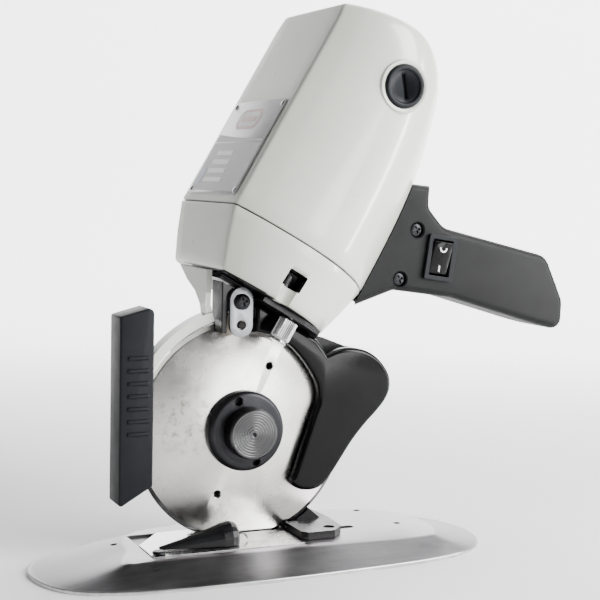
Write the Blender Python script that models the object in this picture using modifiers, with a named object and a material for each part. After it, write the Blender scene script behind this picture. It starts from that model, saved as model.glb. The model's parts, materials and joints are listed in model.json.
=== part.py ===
"""Electric round-knife cloth cutter: a 100 mm disc blade in an upright standard on a flat shoe,
driven by a tilted universal motor through a bevel pair and a spur pair, with a rear handle.

Dimensions are millimetres, and MM turns them into Blender's metres. +Z is up, +X points from the
nose of the shoe towards the handle, and -Y is the side of the blade and its nut.
"""

import math

import bmesh
import bpy
from mathutils import Matrix, Vector

MM = 0.001
MERGE = 0.00001
GAP = 0.3

# Blade and its stack along Y.
BLADE_RADIUS = 50.0
BLADE_AXIS_Z = 55.0
BLADE_EDGE = 1.6
SPINDLE_RADIUS = 6.0
FLANGE_RADIUS = 18.0
NUT_RADIUS = 11.4

# Motor: its axis leans back by TILT and meets the layshaft.
TILT = math.radians(30)
TRAIN_OFFSET = 24.0
MOTOR_Y = 14.0
BEVEL_TEETH = (7, 21)
BEVEL_GEAR_RADIUS = 11.5
SPUR_TEETH = (10, 30)
SPUR_CENTRES = 36.0

# Positions along the motor axis, measured from its point that is DATUM_REACH from the blade axis.
DATUM_REACH = 40.0
HOUSING_BOTTOM = 22.5
SEAM = 49.0
COVER_SHOULDER = 137.0
COVER_TOP = 150.0
COVER_CROWN = 8.0
FRONT_T = -38.5
REAR_T = 46.0
REAR_SWEEP = 15.5
WALL = 2.4

# Standard, which carries the gears, stands behind the blade and reaches down to the shoe.
STANDARD_FRONT = 3.2
STANDARD_BACK = 32.0
CASE_RADIUS = 33.0
CASE_SPACE = 29.4
LAY_CASE_RADIUS = 13.8
LAY_SPACE = 12.2
NECK_BACK = 20.0
FLANGE_THICKNESS = 2.2

# Shoe.
RIM_THICKNESS = 1.6
BASE_TOP = 8.0

# Handle.
HANDLE_HALF_WIDTH = 16.0

COLOURS = {
    "cream_paint": ((0.74, 0.75, 0.68), 0.3, 0.0),
    "black_casting": ((0.02, 0.021, 0.023), 0.35, 0.0),
    "black_plastic": ((0.028, 0.03, 0.034), 0.45, 0.0),
    "blade_steel": ((0.72, 0.71, 0.68), 0.22, 1.0),
    "dark_steel": ((0.09, 0.09, 0.095), 0.35, 1.0),
    "shoe_steel": ((0.36, 0.35, 0.38), 0.38, 1.0),
    "bright_steel": ((0.78, 0.78, 0.77), 0.2, 1.0),
    "gear_steel": ((0.45, 0.45, 0.46), 0.4, 1.0),
    "lamination": ((0.22, 0.22, 0.23), 0.5, 1.0),
    "copper": ((0.72, 0.36, 0.18), 0.35, 1.0),
    "carbon": ((0.03, 0.03, 0.03), 0.8, 0.0),
    "stone": ((0.5, 0.46, 0.4), 0.9, 0.0),
    "brass": ((0.76, 0.6, 0.28), 0.3, 1.0),
    "plate_print": ((0.55, 0.53, 0.55), 0.35, 0.6),
}


def on_motor_axis(reach):
    """X and Z, from the blade axis, of the motor axis's upper point at this distance from it."""
    along = math.sqrt(reach**2 - TRAIN_OFFSET**2)
    x = along * math.sin(TILT) - TRAIN_OFFSET * math.cos(TILT)
    z = along * math.cos(TILT) + TRAIN_OFFSET * math.sin(TILT)
    return x, z


LAY_X, LAY_Z = on_motor_axis(SPUR_CENTRES)
DATUM_X, DATUM_Z = on_motor_axis(DATUM_REACH)
LAY_DROP = math.hypot(DATUM_X - LAY_X, DATUM_Z - LAY_Z)


def beside_motor(along, across):
    """X and Z, from the blade axis, of a point in the motor's along and across measures."""
    x = DATUM_X + along * math.sin(TILT) + across * math.cos(TILT)
    z = DATUM_Z + along * math.cos(TILT) - across * math.sin(TILT)
    return x, z


# ---------------------------------------------------------------- scene helpers


def clear_scene():
    for item in list(bpy.data.objects):
        bpy.data.objects.remove(item)


def new_collection(name):
    made = bpy.data.collections.new(name)
    bpy.context.scene.collection.children.link(made)
    return made


def make_materials():
    made = {}
    for name, (colour, roughness, metallic) in COLOURS.items():
        material = bpy.data.materials.new(name)
        material.use_nodes = True
        shader = material.node_tree.nodes["Principled BSDF"]
        shader.inputs["Base Color"].default_value = (*colour, 1.0)
        shader.inputs["Roughness"].default_value = roughness
        shader.inputs["Metallic"].default_value = metallic
        made[name] = material
    return made


def new_empty(name, location, rotation=(0.0, 0.0, 0.0)):
    empty = bpy.data.objects.new(name, None)
    empty.location = Vector(location) * MM
    empty.rotation_euler = rotation
    PARTS.objects.link(empty)
    return empty


def finish(obj, material, parent):
    """A material name makes obj a part, and None makes it a cutter or a piece to be joined."""
    obj.parent = parent
    if material is None:
        CUTTERS.objects.link(obj)
        obj.hide_render = True
        obj.display_type = "WIRE"
        return obj
    PARTS.objects.link(obj)
    obj.data.materials.append(MATERIALS[material])
    return obj


def from_bmesh(name, bm, material, parent):
    bmesh.ops.recalc_face_normals(bm, faces=bm.faces)
    mesh = bpy.data.meshes.new(name)
    bm.to_mesh(mesh)
    bm.free()
    obj = bpy.data.objects.new(name, mesh)
    mesh.shade_smooth()
    mesh.set_sharp_from_angle(angle=math.radians(32))
    return finish(obj, material, parent)


def boolean(obj, other, operation):
    modifier = obj.modifiers.new(f"{operation.lower()}_{other.name}", "BOOLEAN")
    modifier.operation = operation
    modifier.solver = "EXACT"
    modifier.object = other
    return obj


def cut(obj, *others):
    for other in others:
        boolean(obj, other, "DIFFERENCE")
    return obj


def join(obj, *others):
    for other in others:
        boolean(obj, other, "UNION")
    return obj



# ---------------------------------------------------------------- outlines


def arc(centre, radius, start, end, steps):
    """Points on a circle from start to end degrees, both included."""
    points = []
    for i in range(steps + 1):
        turn = math.radians(start + (end - start) * i / steps)
        points.append((centre[0] + radius * math.cos(turn), centre[1] + radius * math.sin(turn)))
    return points


def circle(centre, radius, steps=24):
    return arc(centre, radius, 0, 360, steps)[:-1]


def rounded(corners, steps=4):
    """A closed outline through corners (x, y, radius), each rounded by an arc of its radius."""
    points = []
    for i, (x, y, radius) in enumerate(corners):
        here = Vector((x, y))
        before = (Vector(corners[i - 1][:2]) - here).normalized()
        after = (Vector(corners[(i + 1) % len(corners)][:2]) - here).normalized()
        half = before.angle(after) / 2
        if radius <= 0 or half > math.radians(88):
            points.append((x, y))
            continue
        centre = here + (before + after).normalized() * (radius / math.sin(half))
        first = here + before * (radius / math.tan(half)) - centre
        last = here + after * (radius / math.tan(half)) - centre
        swing = first.angle_signed(last)
        for k in range(steps + 1):
            spoke = Matrix.Rotation(-swing * k / steps, 2) @ first
            points.append(tuple(centre + spoke))
    return points


def smooth_loop(points, per_segment):
    """A closed Catmull-Rom curve through the points."""
    count = len(points)
    made = []
    for i in range(count):
        made += smooth_span([points[(i + k - 1) % count] for k in range(4)], per_segment)
    return made


def smooth_span(four, steps):
    """Points of a Catmull-Rom span from the second of four points up to, not including, the third."""
    a, b, c, d = (Vector(p) for p in four)
    made = []
    for k in range(steps):
        t = k / steps
        made.append(
            0.5 * (2 * b + (c - a) * t + (2 * a - 5 * b + 4 * c - d) * t**2 + (3 * b - a - 3 * c + d) * t**3)
        )
    return made


def smooth_open(points, per_segment):
    """An open Catmull-Rom curve through the points, both ends included."""
    first = Vector(points[0]) * 2 - Vector(points[1])
    last = Vector(points[-1]) * 2 - Vector(points[-2])
    padded = [first, *points, last]
    made = []
    for i in range(len(points) - 1):
        made += smooth_span(padded[i : i + 4], per_segment)
    made.append(Vector(points[-1]))
    return made


# ---------------------------------------------------------------- solids


def plate(name, loops, low, high, material, parent=None, flat=False):
    """A plate from closed outlines, the first outside and the others holes.

    It stands in the XZ plane from Y low to high or, when flat, lies in XY from Z low to high.
    """
    curve = bpy.data.curves.new(name, "CURVE")
    curve.dimensions = "2D"
    curve.fill_mode = "BOTH"
    curve.extrude = (high - low) / 2 * MM
    for loop in loops:
        spline = curve.splines.new("POLY")
        spline.points.add(len(loop) - 1)
        spline.use_cyclic_u = True
        for point, (x, y) in zip(spline.points, loop):
            point.co = (x * MM, y * MM, 0.0, 1.0)
    drawn = bpy.data.objects.new(name + "_outline", curve)
    bpy.context.scene.collection.objects.link(drawn)
    graph = bpy.context.evaluated_depsgraph_get()
    mesh = bpy.data.meshes.new_from_object(drawn.evaluated_get(graph))
    bpy.data.objects.remove(drawn)
    bm = bmesh.new()
    bm.from_mesh(mesh)
    bpy.data.meshes.remove(mesh)
    bmesh.ops.remove_doubles(bm, verts=bm.verts, dist=MERGE)
    middle = (low + high) / 2 * MM
    if flat:
        bmesh.ops.translate(bm, verts=bm.verts, vec=(0, 0, middle))
    else:
        turn = Matrix.Rotation(math.pi / 2, 3, "X")
        bmesh.ops.rotate(bm, verts=bm.verts, cent=(0, 0, 0), matrix=turn)
        bmesh.ops.translate(bm, verts=bm.verts, vec=(0, middle, 0))
    return from_bmesh(name, bm, material, parent)


def box(name, low, high, material, parent=None):
    bm = bmesh.new()
    bmesh.ops.create_cube(bm, size=1.0)
    low, high = Vector(low) * MM, Vector(high) * MM
    bmesh.ops.scale(bm, verts=bm.verts, vec=high - low)
    bmesh.ops.translate(bm, verts=bm.verts, vec=(low + high) / 2)
    return from_bmesh(name, bm, material, parent)


def turned(name, profile, material, parent=None, location=(0, 0, 0), rotation=(0, 0, 0), steps=32):
    """A solid of revolution about local Z. The profile's (radius, height) points run down its outside.

    A profile that starts off the axis is closed on itself, which leaves a bore.
    """
    mesh = bpy.data.meshes.new(name)
    points = [(r * MM, 0.0, h * MM) for r, h in profile]
    edges = [(i, i + 1) for i in range(len(points) - 1)]
    if profile[0][0] > 0:
        edges.append((len(points) - 1, 0))
    mesh.from_pydata(points, edges, [])
    obj = bpy.data.objects.new(name, mesh)
    screw = obj.modifiers.new("turn", "SCREW")
    screw.axis = "Z"
    screw.angle = 2 * math.pi
    screw.steps = steps
    screw.render_steps = steps
    screw.use_merge_vertices = True
    screw.merge_threshold = 0.00001
    screw.use_smooth_shade = True
    obj.location = Vector(location) * MM
    obj.rotation_euler = rotation
    return finish(obj, material, parent)


TO_VIEWER = (math.pi / 2, 0, 0)
TO_FAR_SIDE = (-math.pi / 2, 0, 0)


def rod(name, radius, low, high, material, parent=None, location=(0, 0, 0), rotation=(0, 0, 0), steps=32):
    """A plain round bar along local Z from low to high."""
    profile = [(0, high), (radius, high), (radius, low), (0, low)]
    return turned(name, profile, material, parent, location, rotation, steps)


def ring(name, inner, outer, low, high, material, parent=None, location=(0, 0, 0), rotation=(0, 0, 0), steps=20):
    profile = [(inner, high), (outer, high), (outer, low), (inner, low)]
    return turned(name, profile, material, parent, location, rotation, steps)


def loft(name, rings, material, parent=None, close_start=True, close_end=True, wrap=False):
    """A skin over rings of equally many points, closed at its ends or, with wrap, end to end."""
    bm = bmesh.new()
    rows = [[bm.verts.new(Vector(p) * MM) for p in points] for points in rings]
    pairs = list(zip(rows, rows[1:]))
    if wrap:
        pairs.append((rows[-1], rows[0]))
    for lower, upper in pairs:
        for i in range(len(lower)):
            j = (i + 1) % len(lower)
            bm.faces.new((lower[i], lower[j], upper[j], upper[i]))
    if close_start and not wrap:
        bm.faces.new(rows[0])
    if close_end and not wrap:
        bm.faces.new(rows[-1])
    return from_bmesh(name, bm, material, parent)


def wire(name, points, radius, material, parent=None, sides=0):
    curve = bpy.data.curves.new(name, "CURVE")
    curve.dimensions = "3D"
    curve.bevel_depth = radius * MM
    curve.bevel_resolution = sides
    curve.use_fill_caps = True
    spline = curve.splines.new("POLY")
    spline.points.add(len(points) - 1)
    for point, place in zip(spline.points, points):
        point.co = (*(Vector(place) * MM), 1.0)
    obj = bpy.data.objects.new(name, curve)
    return finish(obj, material, parent)


# ---------------------------------------------------------------- gears


def tooth_radii(teeth, root, tip, phase):
    """(angle, radius) pairs round a gear: each tooth has two root and two tip corners."""
    pitch = 2 * math.pi / teeth
    corners = ((-0.29, root), (-0.13, tip), (0.13, tip), (0.29, root))
    return [(phase + pitch * (i + share), radius) for i in range(teeth) for share, radius in corners]


def spur_gear(name, teeth, pitch_radius, bore, low, high, phase, material, parent, centre):
    """A straight-toothed wheel about the Y axis, with a tooth centred at the angle phase."""
    module = 2 * pitch_radius / teeth
    corners = tooth_radii(teeth, pitch_radius - 1.15 * module, pitch_radius + 0.85 * module, phase)
    outline = [(centre[0] + r * math.cos(turn), centre[1] + r * math.sin(turn)) for turn, r in corners]
    return plate(name, [outline, circle(centre, bore, 16)], low, high, material, parent)


def bevel_row(teeth, cone, depth, along, phase):
    """(angle, radius, height) corners of a bevel gear's teeth, at the distance along from the apex."""
    made = []
    for turn, side in tooth_radii(teeth, -1.0, 1.0, phase):
        offset = depth[0] * along if side > 0 else -depth[1] * along
        radius = along * math.sin(cone) + offset * math.cos(cone)
        height = along * math.cos(cone) - offset * math.sin(cone)
        made.append((turn, radius, height))
    return made


def bevel_wheel(name, teeth, cone, depth, reach, bore, back, phase, material, parent, place):
    """A bevel wheel whose pitch cone's apex is at the origin. place maps (turn, radius, height)."""
    inner = bevel_row(teeth, cone, depth, reach[0], phase)
    outer = bevel_row(teeth, cone, depth, reach[1], phase)
    widest = max(radius for _, radius, _ in outer)
    rows = [
        [(turn, bore, min(h for _, _, h in inner)) for turn, _, _ in inner],
        inner,
        outer,
        [(turn, min(radius, widest - 1.2), back) for turn, radius, _ in outer],
        [(turn, bore, back) for turn, _, _ in inner],
    ]
    rings = [[place(*corner) for corner in row] for row in rows]
    return loft(name, rings, material, parent, wrap=True)


# ---------------------------------------------------------------- shoe


RIM_OUTLINE = (
    (-98, -14), (-89, -36), (-66, -47), (-25, -51), (30, -50), (80, -45), (104, -32), (113, -9),
    (106, 15), (84, 36), (50, 45), (0, 42), (-45, 36), (-78, 21), (-94, 5),
)  # fmt: skip
TOP_OUTLINE = (
    (-54, -10), (-62, -29), (-46, -29), (-18, -29), (30, -30), (74, -32), (84, -25), (88, -8),
    (84, 8), (72, 20), (46, 27), (0, 26), (-38, 20), (-48, 12), (-52, 2),
)  # fmt: skip
THROAT = (-50.0, 20.0, -26.0, 12.0)
SHOE_HOLES = ((-58, 4), (68, 20), (75, -8))


def make_shoe():
    rim = smooth_loop(RIM_OUTLINE, 3)
    top = smooth_loop(TOP_OUTLINE, 3)
    rings = [
        [(x, y, 0.0) for x, y in rim],
        [(x, y, RIM_THICKNESS) for x, y in rim],
        [(x, y, BASE_TOP) for x, y in top],
    ]
    base = loft("base_plate", rings, "shoe_steel")
    x0, x1, y0, y1 = THROAT
    recess = box("throat_recess", (x0, y0, BASE_TOP - 1.2), (x1, y1, BASE_TOP + 2), None)
    slot = box("blade_pocket", (-24, -1.6, 2.6), (24, 1.6, BASE_TOP + 2), None)
    cut(base, recess, slot)
    for i, (x, y) in enumerate(SHOE_HOLES):
        cut(base, rod(f"shoe_hole_{i}", 1.6, -2, 12, None, location=(x, y, 0), steps=12))
    oval = rounded([(42, -8.6, 2.2), (53, -8.6, 2.2), (53, -4.2, 2.2), (42, -4.2, 2.2)], 5)
    cut(base, plate("shoe_oval", [oval], -2, 12, None, flat=True))
    for i, y in enumerate((-16, 16)):
        cut(base, rod(f"foot_screw_hole_{i}", 2.6, -2, 12, None, location=(36, y, 0), steps=16))
        cut(base, rod(f"foot_screw_sink_{i}", 4.6, -2, 2.6, None, location=(36, y, 0), steps=16))


def make_throat_plate():
    x0, x1, y0, y1 = THROAT
    outline = [
        (x0 + GAP, y0 + GAP), (x1 - GAP, y0 + GAP), (x1 - GAP, y1 - GAP), (x0 + 14, y1 - GAP), (x0 + GAP, -6),
    ]  # fmt: skip
    slot = [(-21.5, -1.4), (19.5, -1.4), (19.5, 1.4), (-21.5, 1.4)]
    screw_hole = circle((-46, -22), 1.9, 12)
    plate("throat_plate", [outline, slot, screw_hole], BASE_TOP - 0.9, BASE_TOP + 0.4, "bright_steel", flat=True)
    head = [(0, 9.9), (2.4, 9.9), (3.0, 9.3), (3.0, 8.8), (1.55, 8.8), (1.55, 7.15), (0, 7.15)]
    turned("throat_screw", head, "dark_steel", location=(-46, -22, 0), steps=16)


def make_counter_knife():
    """The black holder lies beside the blade on the throat plate and holds the fixed carbide knife."""
    low = BASE_TOP + 0.8
    stations = (
        (-44, -16.5, 1.4, 1.2), (-34, -16.2, 3.2, 3.4), (-24, -15.8, 5.0, 6.0), (-16, -15.4, 6.6, 8.6),
        (-12, -15.2, 6.8, 9.4), (-9.5, -15.2, 6.0, 8.6), (-8.2, -15.2, 4.2, 6.6),
    )  # fmt: skip
    rings = []
    for x, y, half, height in stations:
        arch = [(x, y + half * math.cos(math.pi * k / 10), low + height * math.sin(math.pi * k / 10) ** 0.8)
                for k in range(11)]  # fmt: skip
        rings.append(arch)
    holder = loft("knife_holder", rings, "black_casting")
    knife = [(-26, -7.6), (-5, -7.6), (-5, -0.95), (-26, -0.95)]
    plate("lower_knife", [knife], low, low + 1.8, "bright_steel", flat=True)
    cut(holder, box("knife_seat", (-28, -8.0, low - 1), (-4, 0, low + 2.2), None))
    spring = [(-7.6, -15, low + 3), (-5.5, -15, low + 3.4), (-3.6, -14.4, low + 2.2), (-2.4, -13.6, low + 0.6)]
    wire("knife_spring", smooth_open(spring, 4), 0.45, "bright_steel")


# ---------------------------------------------------------------- standard and gear case


def gear_outline(round_spindle, round_layshaft):
    """A belt-shaped outline round the spindle gear and the gears of the layshaft."""
    towards = math.degrees(math.atan2(LAY_Z, LAY_X))
    swing = math.degrees(math.acos((round_spindle - round_layshaft) / SPUR_CENTRES))
    return [
        *arc((LAY_X, LAY_Z), round_layshaft, towards - swing, towards + swing, 8),
        *arc((0, 0), round_spindle, towards + swing, towards - swing + 360, 14),
    ]


def make_standard():
    case = plate("standard", [gear_outline(CASE_RADIUS, LAY_CASE_RADIUS)], STANDARD_FRONT, STANDARD_BACK,
                 "black_casting", CENTRE)  # fmt: skip
    flange_top = HOUSING_BOTTOM - GAP
    neck_top = flange_top - 1.0
    neck_outline = [
        beside_motor(neck_top, 33), beside_motor(neck_top, -9), (-3.5, 56), (-3.5, 40), (4, 26), (27, 12), (38, 30),
    ]  # fmt: skip
    neck = plate("standard_neck", [neck_outline], STANDARD_FRONT + 0.3, NECK_BACK, None, CENTRE)
    flange_loop = [
        (-23, -20), (-5, -20), (-5, -32), (18, -32.2), (28, -28), (35, -12), (36, 12), (29, 28), (10, 35), (-10, 34),
        (-23, 20),
    ]  # fmt: skip
    flange = plate("standard_flange", [flange_loop], flange_top - FLANGE_THICKNESS, flange_top, None, MOTOR, flat=True)
    leg_outline = [
        (20, 44), (40, 40), *arc((54, 26), 9, 95, -20, 6), (57, 8), (49, -5), (45, -17), (38, -27),
        (33, -35), (31.5, -40), (34, -43.6), (30, -45.2), (21.2, -45.2), (17, -40), (2, -30), (-8, 0),
    ]  # fmt: skip
    leg = plate("standard_leg", [leg_outline], STANDARD_FRONT + 0.6, STANDARD_FRONT + 7, None, CENTRE)
    foot_low = BASE_TOP + GAP - BLADE_AXIS_Z
    foot_outline = [
        (20.8, -20), (23, -22.5), (36, -22.5), (42, -16), (43.5, 0), (42, 16), (36, 22.5), (20.8, 22.5),
    ]  # fmt: skip
    foot = plate("standard_foot", [foot_outline], foot_low, foot_low + 3.4, None, CENTRE, flat=True)
    web_outline = [(21.5, foot_low + 1), (42, foot_low + 1), (33, -38), (30, -34), (21.5, -34)]
    web = plate("standard_web", [web_outline], STANDARD_FRONT - 2.6, STANDARD_FRONT + 9.6, None, CENTRE)
    join(case, neck, flange, leg, foot, web)
    cut(case, rod("blade_clearance", BLADE_RADIUS + 1.3, -2.6, 1.6, None, CENTRE, rotation=TO_VIEWER, steps=48))
    space = gear_outline(CASE_SPACE, LAY_SPACE)
    cut(case, plate("gear_space", [space], STANDARD_FRONT + 4.4, STANDARD_BACK + 3, None, CENTRE))
    cut(case, rod("spindle_seat", 11.3, -12, 0, None, CENTRE, rotation=TO_VIEWER, steps=28))
    cut(case, rod("layshaft_seat", 3.0, -12, -4.5, None, CENTRE, (LAY_X, 0, LAY_Z), TO_VIEWER, steps=20))
    cut(case, rod("pinion_bore", 6.0, 3, 40, None, MOTOR, steps=24))
    thread_end = flange_top + 2
    cut(case, rod("thumb_screw_hole", 2.0, 15, thread_end, None, MOTOR, (THUMB_ACROSS, THUMB_Y, 0), steps=14))
    for i, y in enumerate((-16, 16)):
        cut(case, rod(f"foot_thread_{i}", 2.6, foot_low - 2, foot_low + 8, None, CENTRE, (36, y, 0), steps=16))


def make_foot_screws():
    top = BASE_TOP + 3.0
    profile = [(0, top), (2.2, top), (2.2, 2.3), (4.2, 2.3), (4.2, 0.4), (0, 0.4)]
    for name, y in (("foot_screw_near", -16), ("foot_screw_far", 16)):
        turned(name, profile, "dark_steel", location=(36, y, 0), steps=16)


def make_case_cover():
    low = STANDARD_BACK + GAP
    outline = gear_outline(CASE_RADIUS - 0.4, LAY_CASE_RADIUS - 0.4)
    plate("gear_case_cover", [outline], low, low + 2.6, "black_casting", CENTRE)


# ---------------------------------------------------------------- blade and gear train


def make_blade():
    edge = BLADE_RADIUS - BLADE_EDGE
    profile = [(6.3, 0.6), (edge, 0.6), (BLADE_RADIUS, -0.35), (BLADE_RADIUS, -0.6), (6.3, -0.6)]
    blade = turned("blade", profile, "blade_steel", CENTRE, rotation=TO_VIEWER, steps=56)
    for i, turn in enumerate((67, 247)):
        x, z = 30.8 * math.cos(math.radians(turn)), 30.8 * math.sin(math.radians(turn))
        cut(blade, rod(f"blade_hole_{i}", 1.5, -4, 4, None, CENTRE, (x, 0, z), TO_VIEWER, steps=12))


def make_blade_clamp():
    profile = [
        (6.3, 5.6), (FLANGE_RADIUS - 1.6, 5.6), (FLANGE_RADIUS - 0.3, 4.6), (FLANGE_RADIUS, 3.4), (FLANGE_RADIUS, 0.9),
        (6.3, 0.9),
    ]  # fmt: skip
    flange = turned("blade_flange", profile, "dark_steel", CENTRE, rotation=TO_VIEWER, steps=32)
    for i, turn in enumerate((108, 288)):
        x, z = 14.4 * math.cos(math.radians(turn)), 14.4 * math.sin(math.radians(turn))
        cut(flange, rod(f"spanner_hole_{i}", 1.8, 2, 8, None, CENTRE, (x, 0, z), TO_VIEWER, steps=12))
    nut = [
        (0, 12.9), (1.0, 13.6), (NUT_RADIUS - 0.8, 13.6), (NUT_RADIUS, 12.8), (NUT_RADIUS, 5.9), (4.6, 5.9),
        (4.6, 10.5), (0, 10.5),
    ]  # fmt: skip
    turned("blade_nut", nut, "dark_steel", CENTRE, rotation=TO_VIEWER, steps=28)


def make_spindle():
    """The spindle's collar backs the blade, and its thread stands in the nut."""
    profile = [
        (0, 10.1), (4.3, 10.1), (4.3, 5.7), (SPINDLE_RADIUS, 5.7), (SPINDLE_RADIUS, -0.9), (17, -0.9),
        (17, -2.7), (SPINDLE_RADIUS, -2.7), (SPINDLE_RADIUS, -31.9), (0, -31.9),
    ]  # fmt: skip
    turned("blade_spindle", profile, "gear_steel", CENTRE, rotation=TO_VIEWER, steps=24)
    ring("spindle_front_bearing", 6.3, 11.0, -9.6, -3.6, "bright_steel", CENTRE, rotation=TO_VIEWER)
    ring("spindle_rear_bearing", 6.3, 11.0, -31.9, -28.9, "bright_steel", CENTRE, rotation=TO_VIEWER)


def make_spur_pair():
    direction = math.atan2(LAY_Z, LAY_X)
    wheel_teeth, pinion_teeth = SPUR_TEETH[1], SPUR_TEETH[0]
    wheel_radius = SPUR_CENTRES * wheel_teeth / (wheel_teeth + pinion_teeth)
    half_pitch = math.pi / wheel_teeth
    spur_gear("spindle_gear", wheel_teeth, wheel_radius, 6.3, 23.0, 28.4, direction + half_pitch, "gear_steel",
              CENTRE, (0, 0))  # fmt: skip
    spur_gear("layshaft_pinion", pinion_teeth, SPUR_CENTRES - wheel_radius, 4.3, 22.6, 28.6, direction + math.pi,
              "gear_steel", CENTRE, (LAY_X, LAY_Z))  # fmt: skip


def make_layshaft():
    place = (LAY_X, 0, LAY_Z)
    profile = [(0, -5.0), (2.6, -5.0), (2.6, -8.2), (4.0, -8.2), (4.0, -31.9), (0, -31.9)]
    turned("layshaft", profile, "gear_steel", CENTRE, place, TO_VIEWER, steps=24)
    ring("layshaft_rear_bearing", 4.3, 9.0, -31.9, -28.9, "bright_steel", CENTRE, place, TO_VIEWER, 24)


def make_bevel_pair():
    pinion_teeth, wheel_teeth = BEVEL_TEETH
    pinion_cone = math.atan2(pinion_teeth, wheel_teeth)
    wheel_cone = math.pi / 2 - pinion_cone
    outer = BEVEL_GEAR_RADIUS / math.sin(wheel_cone)
    reach = (outer * 0.68, outer)
    module = 2 * BEVEL_GEAR_RADIUS / wheel_teeth / outer
    depth = (0.8 * module, 1.1 * module)

    def on_layshaft(turn, radius, height):
        return (radius * math.sin(turn), height, radius * math.cos(turn))

    def on_motor(turn, radius, height):
        return (radius * math.sin(turn), radius * math.cos(turn), height)

    apex = new_empty("bevel_apex", (0, 0, -LAY_DROP))
    apex.parent = MOTOR
    bevel_wheel("bevel_gear", wheel_teeth, wheel_cone, depth, reach, 4.3, 7.6, math.pi / wheel_teeth, "gear_steel",
                apex, on_layshaft)  # fmt: skip
    bevel_wheel("bevel_pinion", pinion_teeth, pinion_cone, depth, reach, 1.2, 15.6, 0.0, "gear_steel", apex,
                on_motor)  # fmt: skip


# ---------------------------------------------------------------- motor


def make_armature():
    pinion_back, pinion_front = 15.9 - LAY_DROP, 8.0 - LAY_DROP
    shaft = [(0, 149.5), (4.0, 149.5), (4.0, pinion_back), (0.9, pinion_back), (0.9, pinion_front), (0, pinion_front)]
    turned("armature_shaft", shaft, "gear_steel", MOTOR, steps=24)
    slotted = []
    for i in range(12):
        middle = 30 * i
        slotted += arc((0, 0), 21.2, middle - 12, middle + 12, 3)
        slotted += arc((0, 0), 18.0, middle + 13, middle + 17, 1)
    bore = circle((0, 0), 4.3, 24)
    plate("armature_core", [slotted, bore], 72, 112, "lamination", MOTOR, flat=True)
    ring("commutator", 4.3, 12.0, 123, 139, "copper", MOTOR)


def make_fan():
    fan = ring("cooling_fan", 4.3, 30.0, 53, 55, "black_plastic", MOTOR, steps=24)
    hub = ring("fan_hub", 4.3, 8.0, 54, 63, None, MOTOR, steps=24)
    join(fan, hub)
    for i in range(6):
        vane = box(f"fan_vane_{i}", (7, -0.8, 54), (28.5, 0.8, 62), None, MOTOR)
        vane.rotation_euler = (0, 0, math.radians(60 * i + 11))
        join(fan, vane)


def make_stator():
    ring("stator_core", 22.0, 33.0, 72, 112, "lamination", MOTOR, steps=32)
    coil = [(23.4, 4), (24.6, 6), (29.6, 6), (31, 4), (31, 0), (23.4, 0)]
    turned("field_coil_upper", coil, "copper", MOTOR, (0, 0, 112.4), steps=24)
    lower = [(r, -h) for r, h in reversed(coil)]
    turned("field_coil_lower", lower, "copper", MOTOR, (0, 0, 71.6), steps=24)


def make_motor_bearings():
    ring("motor_lower_bearing", 4.3, 10.0, 22.6, 28, "bright_steel", MOTOR, steps=24)
    ring("motor_upper_bearing", 4.3, 10.5, 143, 148.5, "bright_steel", MOTOR, steps=24)
    bracket = ring("upper_bracket", 10.8, 13.4, 140.6, 149, "black_casting", MOTOR, steps=24)
    bar = plate(
        "bracket_bar",
        [[(-11, -34), (11, -34), (11, 34), (-11, 34)], circle((0, 0), 10.8, 24)],
        140.6,
        143.0 - GAP,
        None,
        MOTOR,
        flat=True,
    )
    join(bracket, bar)


BRUSH_ALONG = 131.0
CAP_OUT = 45.2


def make_brush_gear():
    """A brush, its spring, holder and screwed cap on each side of the commutator."""
    for side, name in ((-1, "near"), (1, "far")):
        turn = TO_VIEWER if side < 0 else TO_FAR_SIDE
        place = (0, 0, BRUSH_ALONG)
        low, high = sorted((side * 12.3, side * 24.0))
        box(f"carbon_brush_{name}", (-2.6, low, BRUSH_ALONG - 3), (2.6, high, BRUSH_ALONG + 3), "carbon", MOTOR)
        ring(f"brush_holder_{name}", 4.6, 6.4, 14.5, 38.0, "brass", MOTOR, place, turn, 20)
        coil = [
            (2.6 * math.cos(2 * math.pi * k / 8), side * (24.8 + 12.4 * k / 24), BRUSH_ALONG + 2.6 * math.sin(2 * math.pi * k / 8))
            for k in range(25)
        ]  # fmt: skip
        wire(f"brush_spring_{name}", coil, 0.45, "bright_steel", MOTOR)
        profile = [
            (0, CAP_OUT - 0.9), (7.2, CAP_OUT - 0.9), (7.4, CAP_OUT), (9.0, CAP_OUT), (9.4, CAP_OUT - 0.5),
            (9.4, 41.5), (6.0, 41.5), (6.0, 38.4), (0, 38.4),
        ]  # fmt: skip
        cap = turned(f"brush_cap_{name}", profile, "black_plastic", MOTOR, place, turn, 22)
        low, high = sorted((side * (CAP_OUT - 2.2), side * (CAP_OUT + 1)))
        slot = box(f"cap_slot_{name}", (-5.2, low, -0.8), (5.2, high, 0.8), None, MOTOR)
        slot.location = Vector(place) * MM
        slot.rotation_euler = (0, math.radians(-40), 0)
        cut(cap, slot)


# ---------------------------------------------------------------- housings


SIDE_PROFILE = ((-38.5, 34), (-27, 39.3), (-13, 42.8), (2, 43.6), (16, 40.4), (28, 33), (38, 22), (44, 11))
PIN_ACROSS = -0.3
PIN_Y = -34.6
GROOVE_Y = -41.0
WINDOW_ALONG = (29.5, 37.0)
THUMB_ACROSS = 12.0
THUMB_Y = -28.0


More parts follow.
